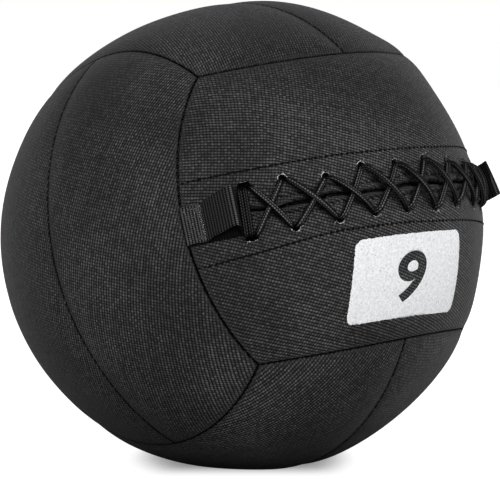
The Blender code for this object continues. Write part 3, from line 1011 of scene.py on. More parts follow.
def front_heights(along, across):
    """Height of the front panels above the plain sphere, found by looking inwards."""
    high = at_height(along, across, probe)
    low = at_height(along, across, -probe)
    heights = []
    for start_point, end_point in zip(high, low):
        ray = Vector(end_point - start_point)
        hit = front_surface.ray_cast(Vector(start_point), ray.normalized(), ray.length)
        far = hit[3] if hit[0] is not None else ray.length / 2
        heights.append(probe - 2 * probe * far / ray.length)
    return np.array(heights)


def on_cover(along, across, lift):
    return at_height(along, across, front_heights(along, across) + lift)


print("front points:", sum(len(mesh.vertices) for mesh in front_sheets.values()))


# %% Punch the holes
def slot_stretch(index):
    """Half the distance between the outermost strands in a hole."""
    return abs(strand_place(index, 0, 1)[0] - strand_place(
        index, strands_in_slot(index) - 1, 1)[0]) / 2


hole_radius = 2.0 * mm
hole_tall = 1.25
hole_out = 0.7 * mm
hole_squeeze = 0.75
pin_foot, pin_length = 11 * mm, 16 * mm


def hole_shift(index, side):
    return -0.9 * mm if side > 0 and 0 < index < last else 0.0


def make_pins(side):
    pins = bmesh.new()
    for index in range(lace_pairs):
        pin = bmesh.new()
        bmesh.ops.create_circle(pin, segments=24, cap_ends=True, radius=hole_radius)
        for count, vert in enumerate(pin.verts):
            ragged = 1 + 0.09 * math.sin(2.7 * count + index * 1.9 + side)
            spread = math.copysign(slot_stretch(index) * hole_squeeze, vert.co.x)
            vert.co.x = vert.co.x * ragged + spread + hole_shift(index, side)
            vert.co.y = vert.co.y * ragged * hole_tall + side * hole_out
        grown = bmesh.ops.extrude_face_region(pin, geom=pin.faces[:])
        tops = [item for item in grown["geom"] if isinstance(item, bmesh.types.BMVert)]
        bmesh.ops.translate(pin, verts=tops, vec=(0, 0, pin_length))
        bmesh.ops.recalc_face_normals(pin, faces=pin.faces[:])
        middle, across = hole_place(index, side)
        low = Vector(at_height(middle, across, -pin_foot)[0])
        high = Vector(at_height(middle, across, pin_length - pin_foot)[0])
        up = (high - low).normalized()
        run = Vector((at_height(middle + lace_pitch, across, 0)
                      - at_height(middle - lace_pitch, across, 0))[0])
        run = (run - up * run.dot(up)).normalized()
        axes = Matrix((run, up.cross(run), up)).transposed().to_4x4()
        pin.transform(Matrix.Translation(low) @ axes)
        loose = bpy.data.meshes.new("pin")
        pin.to_mesh(loose)
        pin.free()
        pins.from_mesh(loose)
        bpy.data.meshes.remove(loose)
    mesh = bpy.data.meshes.new("pins")
    pins.to_mesh(mesh)
    pins.free()
    mesh.materials.append(raw_edge)
    cutter = bpy.data.objects.new("pins", mesh)
    bpy.context.scene.collection.objects.link(cutter)
    return cutter


def finished_mesh(piece):
    """A new mesh of the piece as its modifiers leave it."""
    bpy.context.view_layer.update()
    finished = piece.evaluated_get(bpy.context.evaluated_depsgraph_get())
    return bpy.data.meshes.new_from_object(finished)


def punch(piece, side, material_mode="INDEX"):
    """Cuts one row of holes and writes the result into the piece's own mesh."""
    pins = make_pins(side)
    cut = piece.modifiers.new("holes", "BOOLEAN")
    cut.operation = "DIFFERENCE"
    cut.solver = "MANIFOLD"
    cut.object = pins
    cut.material_mode = material_mode
    done = finished_mesh(piece)
    piece.modifiers.clear()
    piece.data = done
    bpy.data.objects.remove(pins)


for name, side in (("front_upper_panel", 1), ("front_lower_panel", -1)):
    panel = show(name + "_cover", front_sheets[name], [cover_vinyl], [name])
    give_wall(panel, cover_wall)
    punch(panel, side, "TRANSFER")
    print(panel.name, len(panel.data.polygons), "faces",
          [material.name for material in panel.data.materials])

# %% [markdown]
# ## The lace
#
# The lace is one braided cord. Its route is worked out strand by strand: over the
# slit outside, down through a hole, behind to the other row and out again. Outside it
# lies on the cover and is pulled taut, which a few passes of lifting each point to
# the middle of its neighbours imitates, and then it is raised to a low arch.

# %% Braid material
braid_columns = 6.0
bead_length = 1.9 * mm
lace_braid, tree, shader = new_material("lace_braid", 0.62, 0.03)
cord = split_xyz(tree, flat_map(tree, "cord"))
columns = sum_node(tree, "MULTIPLY", cord[1], braid_columns)
beads = sum_node(tree, "MULTIPLY_ADD", sum_node(tree, "FLOOR", columns), 0.5,
                 sum_node(tree, "DIVIDE", cord[0], bead_length))
height = sum_node(tree, "MULTIPLY", sum_node(tree, "POWER", arch(tree, columns), 0.7),
                  sum_node(tree, "MULTIPLY_ADD", arch(tree, beads), 0.55, 0.45))
fuzz = noise_node(tree, own_place(tree), 2600)
# Painted light on the cord: the tops of the beads get a painted highlight, which fades into
# painted shade towards the cord's outline and on the strands marked as shaded.
face_on = sum_node(tree, "MULTIPLY", fall(tree, turned_away(tree), 0.10, 0.55),
                   mesh_value(tree, "painted_strand_light"))
tint = sum_node(tree, "MULTIPLY", sum_node(tree, "POWER", height, 3.0),
                sum_node(tree, "MULTIPLY", face_on, sum_node(tree, "ADD", fuzz, 0.35)))
color = mix_colors(tree, tint, grey(0.0009), grey(0.175))
rough = sum_node(tree, "MULTIPLY_ADD", fuzz, 0.3, 0.45)
finish_look(tree, shader, color, rough, height, 0.6 * mm)
print("material:", lace_braid.name)

# %% Route of the lace
cord_radius = 1.85 * mm


def outside_run(start_place, end_place, lift, bow=0.5 * mm):
    (a0, b0), (a1, b1) = start_place, end_place
    share = np.linspace(0, 1, 45)
    along = a0 + (a1 - a0) * share
    across = b0 + (b1 - b0) * share
    length = math.hypot(a1 - a0, b1 - b0)
    height = front_heights(along, across) + cord_radius - 0.15 * mm
    height += lift * bell((share - 0.5) * length, 4.5 * mm)
    for _ in range(60):
        height[1:-1] = np.maximum(height[1:-1], (height[:-2] + height[2:]) / 2)
    ends = height[0] + (height[-1] - height[0]) * share
    crown = bow + (height - ends).max()
    height = np.maximum(height, ends + crown * (1 - (2 * share - 1) ** 2))
    from_end = np.minimum(share, 1 - share) * length
    height -= 5.5 * mm * np.clip(1 - from_end / (3.6 * mm), 0, 1) ** 2
    return list(zip(along, across, height))


def inside_run(start_place, end_place, depth):
    (a0, b0), (a1, b1) = start_place, end_place
    bend = inside_bend / math.hypot(a1 - a0, b1 - b0)
    return [(a0, b0, outside_bend - depth),
            (a0 + (a1 - a0) * bend, b0 + (b1 - b0) * bend, -depth),
            (a1 - (a1 - a0) * bend, b1 - (b1 - b0) * bend, -depth),
            (a1, b1, outside_bend - depth)]


def tail_run(along, across, side):
    return [(along, across, outside_bend - lace_inside_depth),
            (along + side * outside_bend, across, -lace_inside_depth),
            (along + side * lace_tail, across, -lace_inside_depth)]


def upper(index, order):
    return strand_place(index, order, 1)


def lower(index, order):
    return strand_place(index, order, -1)


over = 2 * cord_radius + 0.1 * mm
route = list(reversed(tail_run(*upper(0, 2), 1)))
for index in range(last):
    route += outside_run(upper(index, strands_in_slot(index) - 1), lower(index + 1, 0), over)
    if index + 1 < last:
        route += inside_run(lower(index + 1, 0), upper(index + 1, 1), lace_inside_depth)
route += inside_run(lower(last, 0), upper(last, 1), lace_inside_depth)
route += outside_run(upper(last, 1), lower(last, 1), 0, 2.0 * mm)
route += inside_run(lower(last, 1), upper(last, 2), lace_inside_depth)
route += outside_run(upper(last, 2), lower(last, 2), 0, 3.2 * mm)
route += inside_run(lower(last, 2), upper(last, 0), lace_inner_depth)
for index in range(last, 0, -1):
    back = strands_in_slot(index - 1) - 1
    route += outside_run(upper(index, 0), lower(index - 1, back), 0)
    if index - 1 > 0:
        route += inside_run(lower(index - 1, 1), upper(index - 1, 0), lace_inner_depth)
route += inside_run(lower(0, 2), upper(0, 1), lace_inner_depth)
route += outside_run(upper(0, 1), lower(0, 1), 0)
route += inside_run(lower(0, 1), upper(0, 0), lace_inner_depth)
route += outside_run(upper(0, 0), lower(0, 0), 0)
route += tail_run(*lower(0, 0), -1)
route = np.array(route)
print("route:", len(route), "points")


# %% [markdown]
# ### Sweeping a cord
#
# A curve with a round bevel would do, but its map along the cord would stretch with
# the control points. A grid rolled up along the route keeps the braid's stitches all
# the same length. The route is first evened out to equal steps, and the ring of each
# step is carried along without twisting.

# %% Cord maker
def even_steps(points, step, closed=False):
    if closed:
        points = np.vstack([points, points[:1]])
    lengths = np.linalg.norm(np.diff(points, axis=0), axis=1)
    travelled = np.concatenate([[0], np.cumsum(lengths)])
    count = max(2, round(travelled[-1] / step))
    places = np.linspace(0, travelled[-1], count + 1)
    even = np.stack([np.interp(places, travelled, points[:, axis]) for axis in range(3)], 1)
    return (even[:-1] if closed else even), travelled[-1]


def soften(points, passes):
    points = points.copy()
    for _ in range(passes):
        points[1:-1] = (points[:-2] + 2 * points[1:-1] + points[2:]) / 4
    return points


def weld(mesh, distance, close_ends=False):
    bm = bmesh.new()
    bm.from_mesh(mesh)
    bmesh.ops.remove_doubles(bm, verts=bm.verts[:], dist=distance)
    if close_ends:
        rims = [edge for edge in bm.edges if edge.is_boundary]
        bmesh.ops.holes_fill(bm, edges=rims, sides=0)
    bmesh.ops.recalc_face_normals(bm, faces=bm.faces[:])
    bm.to_mesh(mesh)
    bm.free()
    mesh.shade_smooth()


def cord_mesh(name, points, radius, sides):
    tangents = unit(np.gradient(points, axis=0))
    side = unit(np.cross(tangents[0], [0.3, 0.2, 0.9]))
    frames = []
    for tangent in tangents:
        side = unit(side - tangent * (side @ tangent))
        frames.append((side, np.cross(tangent, side)))
    frames = np.array(frames)
    mesh = grid_mesh(name, len(points) - 1, sides)
    shares = mesh_points(mesh)[:, :2] + 0.5
    ring = np.clip(np.rint(shares[:, 0] * (len(points) - 1)).astype(int), 0, len(points) - 1)
    turn = shares[:, 1] * math.tau
    radii = np.broadcast_to(radius, len(points))[ring][:, None]
    placed = points[ring] + radii * (np.cos(turn)[:, None] * frames[ring, 0]
                                     + np.sin(turn)[:, None] * frames[ring, 1])
    step = np.linalg.norm(np.diff(points, axis=0), axis=1)
    travelled = np.concatenate([[0], np.cumsum(step)])
    set_map(mesh, "cord", np.stack([travelled[ring], shares[:, 1]], 1))
    set_points(mesh, placed)
    weld(mesh, 0.002 * mm, close_ends=True)
    return mesh


lace_points, _ = even_steps(at_height(route[:, 0], route[:, 1], route[:, 2]), 0.9 * mm)
lace_points = soften(lace_points, 4)
lace_mesh = cord_mesh("lace_cord", lace_points, cord_radius, 12)
lace_verts = mesh_points(lace_mesh)
# Painted shade on the lace: the strands at both ends and the strands that cross over are
# darkened, each by its own amount, the crossing ones more the farther they lie from the left
# tab. The mesh keeps the light that is left as an attribute.
strand_painted_shade = np.zeros(len(lace_verts))
strand_shade_amounts = (0.7, 0.7, 0.7, 0.7, 0.3, 0.5, 0.65, 0.75, 0.8, 0.8, 0.8)
strand_shade_height, strand_shade_reach = 2.6 * mm, 4.6 * mm
for ends, dark in zip(outside_strands[:4] + outside_strands[6::2], strand_shade_amounts):
    first, second = np.array(ends)
    for share in np.linspace(0.05, 0.95, 13):
        spot = at_height(*(first + (second - first) * share), strand_shade_height)
        near = np.exp(-(np.linalg.norm(lace_verts - spot, axis=1) / strand_shade_reach) ** 6)
        strand_painted_shade = np.maximum(strand_painted_shade, dark * near)
mark_points(lace_mesh, "painted_strand_light", 1.0 - strand_painted_shade)
lace = show("lace_cord", lace_mesh, [lace_braid], ["lace"])
print(f"lace: {len(lace.data.polygons)} faces, "
      f"{np.linalg.norm(np.diff(lace_points, axis=0), axis=1).sum():.2f} m")

# %% [markdown]
# ## Webbing tabs
#
# Each tab is a strap folded on itself: a base on the cover, a top layer that rises to
# a crest, and a foot that comes back down. It is rolled from a grid along a closed
# profile. The ribs of the webbing are real here, because the crest is seen from the
# side.

# %% Webbing material
rib_pitch, yarn_pitch = 2.0 * mm, 1.3 * mm
webbing, tree, shader = new_material("ribbed_webbing", 0.7, 0.03)
strap = split_xyz(tree, flat_map(tree, "strap"))
rib = arch(tree, sum_node(tree, "DIVIDE", strap[0], rib_pitch))
yarn = arch(tree, sum_node(tree, "DIVIDE", strap[1], yarn_pitch))
fuzz = noise_node(tree, own_place(tree), 1900)
height = sum_node(tree, "MULTIPLY", rib, sum_node(tree, "MULTIPLY_ADD", yarn, 0.4, 0.6))
# Painted highlight on the tops of the ribs.
tint = sum_node(tree, "MULTIPLY", sum_node(tree, "POWER", height, 3.6),
                sum_node(tree, "ADD", fuzz, 0.3))
# The sewn part is lighter, and through the same attribute the crest of the fold gets a painted
# highlight.
color = mix_colors(tree, mesh_value(tree, "sewn"),
                   mix_colors(tree, tint, grey(0.0008), grey(0.048)),
                   mix_colors(tree, tint, grey(0.0012), grey(0.150)))
# Painted shade on the base layer and on the foot behind the crest.
color = lay_over(tree, color, mesh_value(tree, "fold_painted_shade"), 0.9, grey(0.0008))
rough = sum_node(tree, "MULTIPLY_ADD", fuzz, 0.25, 0.55)
finish_look(tree, shader, color, rough, height, 0.4 * mm)
print("material:", webbing.name)

# %% Tab maker
tab_width = 25 * mm
tab_wall = 1.6 * mm
tab_height = 13 * mm
tab_seam_inset = 1.5 * mm
tab_stitch_length = 12.6 * mm
tab_crest_from_seam = 35.6 * mm
left_drop, left_lean = 3.2 * mm, 8.4 * mm
right_drop, right_lean = -0.2 * mm, 3.5 * mm
left_scale, right_scale = (1.0, 0.0), (1.05, 0.16)
rib_rise, fray = 0.16 * mm, 0.25 * mm
sewn_end = tab_seam_inset + tab_stitch_length


def tab_profile():
    low = tab_wall / 2 + touch_gap
    high = low + tab_wall + touch_gap
    crest = tab_height - tab_wall / 2
    inset = tab_seam_inset
    stitched = inset + tab_stitch_length
    crest_in = tab_crest_from_seam
    foot_in = tab_crest_from_seam + 1.0 * mm
    profile = [(inset + (foot_in - inset) * share, low) for share in (0, 0.33, 0.66, 0.97)]
    profile.append((foot_in + tab_wall / 2, low + 1.4 * mm))
    profile.append((foot_in + tab_wall / 2, (low + crest) / 2))
    profile.append((foot_in + tab_wall / 4, crest - 1.2 * mm))
    profile.append((crest_in - 0.6 * mm, crest))
    for along_share, up_share in ((0.80, 0.88), (0.5, 0.58), (0.2, 0.22)):
        profile.append((stitched + (crest_in - stitched) * along_share,
                        high + (crest - high) * up_share))
    profile += [(stitched, high), ((stitched + inset) / 2, high), (inset, high),
                (inset - tab_wall / 2, (low + high) / 2)]
    return np.array([(x, 0.0, z) for x, z in profile])


def rounded_loop(points, per_span):
    """Closed smooth curve through the points."""
    before, after, after_two = (np.roll(points, shift, 0) for shift in (1, -1, -2))
    share = np.linspace(0, 1, per_span, endpoint=False)[:, None, None]
    curve = 0.5 * (2 * points + (after - before) * share
                   + (2 * before - 5 * points + 4 * after - after_two) * share ** 2
                   + (3 * points - before - 3 * after + after_two) * share ** 3)
    return curve.transpose(1, 0, 2).reshape(-1, 3)


profile, profile_length = even_steps(rounded_loop(tab_profile(), 24), 0.25 * mm, True)
turning = unit(np.roll(profile, -1, 0) - np.roll(profile, 1, 0))
outward = np.stack([-turning[:, 2], 0 * turning[:, 0], turning[:, 0]], 1)
if ((profile - profile.mean(0)) * outward).sum() < 0:
    outward = -outward


def tab_seat(along, across, inward):
    """How far the cover under a tab lies below the plain sphere."""
    return seam_depth(np.minimum(inward, tab_width / 2)) - unevenness(
        settle(along_across(along, across) * half_width))


def make_tab(name, side, drop, lean, scale, node):
    count = len(profile)
    mesh = grid_mesh(name, count, 18)
    shares = mesh_points(mesh)[:, :2] + 0.5
    ring = np.rint(shares[:, 0] * count).astype(int)
    wide = shares[:, 1] * 2 - 1
    ribs = rib_rise * np.abs(np.sin(math.pi * ring * profile_length / count / rib_pitch))
    flat = ring % count
    inward, height = profile[flat, 0], profile[flat, 2] * (scale[0] - scale[1] * wide)
    along = side * (mid_length / 2 - inward)
    across = wide * (tab_width / 2) + lean * height / tab_height - drop
    across += fray * np.sin(ring * 0.9) * np.abs(wide) ** 8
    seat = tab_seat(along, across, inward)
    inner = at_height(along, across, height - seat)
    probe_points = at_height(side * (mid_length / 2 - (inward + outward[flat, 0] * mm)),
                             across, height + outward[flat, 2] * mm - seat)
    push = unit(probe_points - inner)
    set_map(mesh, "strap", np.stack([ring * profile_length / count, wide * tab_width / 2], 1))
    # The crest of the fold gets a painted highlight, kept with the sewn part.
    folded = bell(inward - tab_crest_from_seam, 1.9 * mm) * (height > 10.5 * mm)
    worked = soft_step(sewn_end + 0.5 * mm - inward, 0, 1.2 * mm)
    mark_points(mesh, "sewn", 0.75 * np.maximum(worked, folded))
    # Painted shade: the base layer and the foot behind the crest are marked for it.
    behind = (inward > tab_crest_from_seam + 0.7 * mm) & (height < tab_height - 1.8 * mm)
    mark_points(mesh, "fold_painted_shade", ((height < 2.2 * mm) | behind).astype(float))
    set_points(mesh, inner + push * ribs[:, None])
    weld(mesh, 0.003 * mm)
    tab = show(name, mesh, [webbing], [node])
    give_wall(tab, tab_wall, 0.0)
    return tab


tabs = [make_tab("left_strap", -1, left_drop, left_lean, left_scale, "left_tab"),
        make_tab("right_strap", 1, right_drop, right_lean, right_scale, "right_tab")]
print("tabs:", [(tab.name, len(tab.data.polygons)) for tab in tabs])

# %% [markdown]
# ## Facings behind the holes
#
# A strip of cloth behind each row of holes keeps the lace from tearing out. It is a
# grid that follows the inner side of the cover, and the same pins punch it.

# %% Cloth materials
def cloth_material(name, dark, light, pitch):
    material, tree, shader = new_material(name, 0.85, 0.1)
    threads = use_group(tree, weave, Vector=flat_map(tree, "cloth"), Row_Pitch=pitch,
                        Dash_Pitch=pitch * 1.1, Wander=pitch * 0.3)
    marks = use_group(tree, wear, Vector=own_place(tree), Scale=20.0)
    share = sum_node(tree, "MULTIPLY", threads["Dash"], threads["Tone"])
    color = mix_colors(tree, share, dark, light)
    color = lay_over(tree, color, marks["Patches"], 0.25, dark)
    rough = sum_node(tree, "MULTIPLY_ADD", share, -0.1, 0.9)
    finish_look(tree, shader, color, rough, threads["Height"], pitch * 0.3)
    return material


facing_cloth = cloth_material("facing_cloth", grey(0.010), grey(0.07), 1.1 * mm)
liner_cloth = cloth_material("liner_cloth", (0.10, 0.095, 0.085, 1), (0.32, 0.31, 0.28, 1),
                             1.5 * mm)
print("materials:", facing_cloth.name, liner_cloth.name)

# %% Facings
facing_wall = 0.8 * mm
facing_end_gap = 16 * mm
facing_from_slit, facing_tall = 6.4 * mm, 19.4 * mm
facing_drop = 1.3 * mm
for name, node, side in (("upper_facing", "upper_lace_facing", 1),
                         ("lower_facing", "lower_lace_facing", -1)):
    mesh = grid_mesh(name, 150, 12)
    shares = mesh_points(mesh)[:, :2] + 0.5
    along = (2 * shares[:, 0] - 1) * (mid_length / 2 - facing_end_gap)
    across = facing_from_slit + facing_tall * shares[:, 1]
    sphere = at_height(along, side * across, 0)
    depth = cover_wall + touch_gap + facing_drop + seam_depth(across)
    set_points(mesh, at_height(along, side * across, unevenness(sphere) - depth))
    face_outwards(mesh)
    set_map(mesh, "cloth", np.stack([along, across], 1))
    mesh.shade_smooth()
    facing = show(name, mesh, [facing_cloth], [node])
    give_wall(facing, facing_wall)
    punch(facing, side)
    print(facing.name, len(facing.data.polygons), "faces")

# %% [markdown]
# ## Inside the ball
#
# The bag, the two halves of the stuffing and the core sack are round about the upright
# axis, so each is a profile turned once. The settled ball is an ellipse in that
# profile. The bag is left open behind the lacing, where the filling went in, and its
# skin and the stuffing under it share the same slow lumps, so that they keep apart.

# %% Turned pieces
bag_wall = 1.0 * mm
bag_radius = half_width - lace_inner_depth - lace_diameter / 2 - touch_gap
stuffing_radius = bag_radius - bag_wall - 2 * touch_gap
core_radius = 80 * mm
sack_wall = 1.2 * mm
sack_radius = core_radius + touch_gap + sack_wall
cavity_radius = sack_radius + touch_gap
neck_radius, neck_bore, neck_height = 9 * mm, 3 * mm, 14 * mm
mouth_angle = 18
lump_depth, gather_depth, pinch_depth = 0.9 * mm, 0.5 * mm, 0.9 * mm


def arc_profile(radius, low_angle, high_angle, count, flat_share=1.0):
    angles = np.radians(np.linspace(low_angle, high_angle, count))
    return [(radius * math.cos(angle), radius * flat_share * math.sin(angle))
            for angle in angles]


def turned_mesh(name, profile, steps):
    bm = bmesh.new()
    verts = [bm.verts.new((max(x, 0), 0, z)) for x, z in profile]
    edges = [bm.edges.new(pair) for pair in zip(verts, verts[1:])]
    bmesh.ops.spin(bm, geom=verts + edges, axis=(0, 0, 1), cent=(0, 0, 0), angle=math.tau,
                   steps=steps, use_merge=True)
    bmesh.ops.remove_doubles(bm, verts=bm.verts[:], dist=0.005 * mm)
    bmesh.ops.recalc_face_normals(bm, faces=bm.faces[:])
    return bm


def slow_lumps(points):
    """0 to 1, the same for the bag and the stuffing under it."""
    ways = unit(points)
    return 0.5 + 0.5 * np.sin(ways @ (wave_ways[:5] * 2.2).T + wave_starts[:5]).mean(1)


def bm_points(bm):
    return np.array([tuple(vert.co) for vert in bm.verts])


def place_round(bm, points, name, wrap):
    """Puts the points into the mesh, wraps a flat map round it and moves it to the centre."""
    for vert, point in zip(bm.verts, points):
        vert.co = Vector(point + centre)
    mesh = mesh_of(bm, name)
    turn = np.arctan2(points[:, 1], points[:, 0])
    rise = np.arctan2(points[:, 2], np.hypot(points[:, 0], points[:, 1]))
    set_map(mesh, "cloth", np.stack([turn * wrap, rise * wrap], 1))
    return mesh


def mesh_of(bm, name):
    mesh = bpy.data.meshes.new(name)
    bm.to_mesh(mesh)
    bm.free()
    mesh.shade_smooth()
    return mesh


print(f"bag {bag_radius / mm:.1f} mm, stuffing {stuffing_radius / mm:.1f} mm in radius")

# %% Inner bag
bm = turned_mesh("inner_bag", arc_profile(bag_radius, -90, 90, 61, height_share), 120)
pole = settle(np.array([[0, -bag_radius, 0]]))[0] - centre
mouth = [vert for vert in bm.verts
         if unit(np.array(vert.co)) @ unit(pole) > math.cos(math.radians(mouth_angle))]
bmesh.ops.delete(bm, geom=mouth, context="VERTS")
points = bm_points(bm)
from_mouth = np.degrees(np.arccos(np.clip(unit(points) @ unit(pole), -1, 1)))
round_mouth = np.arctan2(points[:, 2], points[:, 0])
gathers = gather_depth * bell(from_mouth - mouth_angle, 6) * (1 + np.cos(26 * round_mouth))
inward = lump_depth * slow_lumps(points) - gathers * 0.4
points *= 1 - (np.maximum(inward, 0) / bag_radius)[:, None]
bag = show("inner_bag_cloth", place_round(bm, points, "inner_bag_cloth", bag_radius),
           [liner_cloth], ["inner_bag"])
give_wall(bag, bag_wall)
print(bag.name, len(bag.data.polygons), "faces")

# %% Stuffing
stuffing_fibre, tree, shader = new_material("stuffing_fibre", 0.95, 0.05)
place = own_place(tree)
stretch = add_node(tree, "ShaderNodeMapping")
stretch.inputs["Scale"].default_value = (1.0, 3.0, 5.0)
tree.links.new(place, stretch.inputs["Vector"])
strand = noise_node(tree, stretch.outputs[0], 160, 6.0, 0.7)
clump = noise_node(tree, place, 35)
share = sum_node(tree, "MULTIPLY_ADD", clump, 0.5, sum_node(tree, "MULTIPLY", strand, 0.6))
color = mix_colors(tree, ramp(tree, share, 0.35, 0.75), (0.18, 0.17, 0.16, 1),
                   (0.62, 0.61, 0.58, 1))
rough = sum_node(tree, "MULTIPLY_ADD", strand, 0.1, 0.88)
finish_look(tree, shader, color, rough, strand, 1.5 * mm)

well = neck_radius + touch_gap
well_top = sack_radius + neck_height + touch_gap
for name, node, side in (("upper_fill", "upper_stuffing", 1),
                         ("lower_fill", "lower_stuffing", -1)):
    start = math.degrees(math.asin(touch_gap / 2 / cavity_radius))
    top = math.degrees(math.acos(well / cavity_radius)) if side > 0 else 90
    cavity = list(reversed(arc_profile(cavity_radius, start, top, 30)))
    if side > 0:
        cavity = [(0, well_top), (well, well_top)] + cavity
    level = [(cavity_radius + (stuffing_radius - cavity_radius) * step / 10, touch_gap / 2)
             for step in range(1, 10)]
    outer = arc_profile(stuffing_radius, 0.07, 90, 40, height_share)
    profile = [(x, side * z) for x, z in cavity + level + outer]
    bm = turned_mesh(name, profile, 120)
    points = bm_points(bm)
    size = np.linalg.norm(points / np.array([1, 1, height_share]), axis=1)
    skin = size > stuffing_radius - 0.5 * mm
    inward = lump_depth * slow_lumps(points) + 0.3 * mm * (
        1 + np.sin(unit(points) @ (wave_ways[5:9] * 6).T + wave_starts[5:9]).mean(1))
    points *= 1 - (np.where(skin, inward, 0) / stuffing_radius)[:, None]
    points[:, 2] = np.where(skin & (side * points[:, 2] < touch_gap / 2),
                            side * touch_gap / 2, points[:, 2])
    fill = show(name, place_round(bm, points, name, stuffing_radius), [stuffing_fibre],
                [node])
    print(fill.name, len(fill.data.polygons), "faces")

# %% Core sack and its fill
outer_top = math.degrees(math.acos(neck_radius / sack_radius))
inner_sack = sack_radius - sack_wall
inner_top = math.degrees(math.acos(neck_bore / inner_sack))
neck_top = sack_radius + neck_height
profile = arc_profile(sack_radius, -90, outer_top, 60)
profile += [(neck_radius, neck_top - neck_height * share) for share in (0.7, 0.4, 0.15, 0)]
profile += [(neck_bore, neck_top)]
profile += list(reversed(arc_profile(inner_sack, -90, inner_top, 60)))
bm = turned_mesh("core_sack_cloth", profile, 96)
points = bm_points(bm)
turn = np.arctan2(points[:, 1], points[:, 0])
around = np.hypot(points[:, 0], points[:, 1])
gather = (points[:, 2] > 0) & (around > neck_bore + 2 * mm)
pinch = pinch_depth * (1 + np.cos(14 * turn)) / 2 * np.exp(-np.maximum(
    0, around - neck_radius) / (9 * mm)) * gather * (points[:, 2] > sack_radius * 0.9)
shrink = np.where(around > 0, 1 - pinch / np.maximum(around, mm), 1)
outside = np.linalg.norm(points, axis=1) > sack_radius + 0.2 * mm
points[:, :2] *= np.where(outside, shrink, 1)[:, None]
sack = show("core_sack_cloth", place_round(bm, points, "core_sack_cloth", sack_radius),
            [liner_cloth], ["core_sack"])

iron_grit, tree, shader = new_material("iron_grit", 0.5, 0.5)
grain = add_node(tree, "ShaderNodeTexVoronoi")
tree.links.new(own_place(tree), grain.inputs["Vector"])
grain.inputs["Scale"].default_value = 420
spot = add_node(tree, "ShaderNodeSeparateColor")
tree.links.new(grain.outputs["Color"], spot.inputs[0])
color = mix_colors(tree, spot.outputs[0], (0.05, 0.045, 0.043, 1), (0.24, 0.22, 0.21, 1))
rough = sum_node(tree, "MULTIPLY_ADD", spot.outputs[1], 0.4, 0.35)
finish_look(tree, shader, color, rough,
            sum_node(tree, "SUBTRACT", 1.0, grain.outputs["Distance"]), 1.0 * mm)
shader.inputs["Metallic"].default_value = 0.8
core_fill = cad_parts["core_fill"]
core_fill.data.materials[0] = iron_grit
print("core:", sack.name, core_fill.name)

# %% [markdown]
# ## Thread
#
# The stitches are real pieces of thread: small round grains in a row, each a little
# different in length. A zigzag of the same thread holds the end of each tab's sewn
# part. On both sides of the slit one row of stitches holds the hem and another, farther
# out, holds the facing.

# %% Thread material
thread_fibre = fibre_material("sewing_thread", 0.03, 2400, 2.0, (0.4, 0.8), grey(0.0012),
                              grey(0.008), 0.5, 0.3)
worn_thread = fibre_material("worn_thread", 0.03, 1500, 2.0, (0.4, 0.7), grey(0.006),
                             grey(0.200), 0.5, 0.3)
print("materials:", thread_fibre.name, worn_thread.name)


# %% Sewn rows
def sew(bm, points, length, radius):
    """Adds one grain of thread between each point and the next."""
    for before, after in zip(points[:-1], points[1:]):
        way = Vector(after - before)
        size = length * seeded.uniform(0.6, 1.15) / 2
        place = Matrix.Translation(Vector(before + after) / 2) @ (
            way.to_track_quat("X", "Z").to_matrix().to_4x4())
        bmesh.ops.create_uvsphere(bm, u_segments=6, v_segments=5, radius=1.0,
                                  matrix=place @ Matrix.Diagonal((size, radius, radius, 1)))


hem_stitch_pitch = 3.1 * mm
thread_lift = 0.1 * mm
for name, side in (("upper_facing_stitches", 1), ("lower_facing_stitches", -1)):
    bm = bmesh.new()
    along = np.arange(-40, 41) * facing_stitch_pitch
    sew(bm, on_cover(along, side * line_way(along, side), thread_lift), 2.6 * mm, 0.64 * mm)
    hem = np.arange(-41, 42) * hem_stitch_pitch
    sew(bm, on_cover(hem, side * hem_way(hem, side), thread_lift), 2.0 * mm, 0.42 * mm)
    row = show(name, mesh_of(bm, name), [thread_fibre])
    print(row.name, len(row.data.polygons), "faces")


def on_tab(side, drop, lean, inward, wide, lift):
    """Points on the sewn part of a tab."""
    high = tab_wall / 2 + touch_gap + tab_wall + touch_gap
    height = high + tab_wall / 2 + lift
    along = side * (mid_length / 2 - inward)
    across = wide * tab_width / 2 + lean * high / tab_height - drop
    return at_height(along, across, height - tab_seat(along, across, inward))


for name, side, drop, lean in (("left_tab_stitches", -1, left_drop, left_lean),
                               ("right_tab_stitches", 1, right_drop, right_lean)):
    bm = bmesh.new()
    wide = np.linspace(-0.93, 0.93, 31)
    turn = np.where(np.arange(31) % 2 == 0, -1.1 * mm, 1.1 * mm)
    end = sewn_end - 0.6 * mm
    zigzag = on_tab(side, drop, lean, end + turn, wide, thread_lift)
    for first, second in zip(zigzag[:-1], zigzag[1:]):
        sew(bm, [first, second], 3.0 * mm, 0.46 * mm)
    near, far = tab_seam_inset + 1.2 * mm, end - 2.2 * mm
    for (in_0, wide_0), (in_1, wide_1) in (
            ((near, -0.8), (far, -0.8)), ((near, 0.8), (far, 0.8)),
            ((near, -0.8), (far, 0.8)), ((near, 0.8), (far, -0.8))):
        share = np.linspace(0, 1, 12)
        line = on_tab(side, drop, lean, in_0 + (in_1 - in_0) * share,
                      wide_0 + (wide_1 - wide_0) * share, 0.05 * mm)
        sew(bm, even_steps(line, 2.4 * mm)[0], 2.3 * mm, 0.42 * mm)
    show(name, mesh_of(bm, name), [worn_thread])
print("thread on both tabs")

# %% [markdown]
# ## Torn rims
#
# The lace pulls each hole outwards, and there the vinyl's skin has cracked and shows
# its pale backing. A rough bead along the outer side of the hole gives that light
# edge, with a few loose fibres beside it. How far each hole is torn differs.

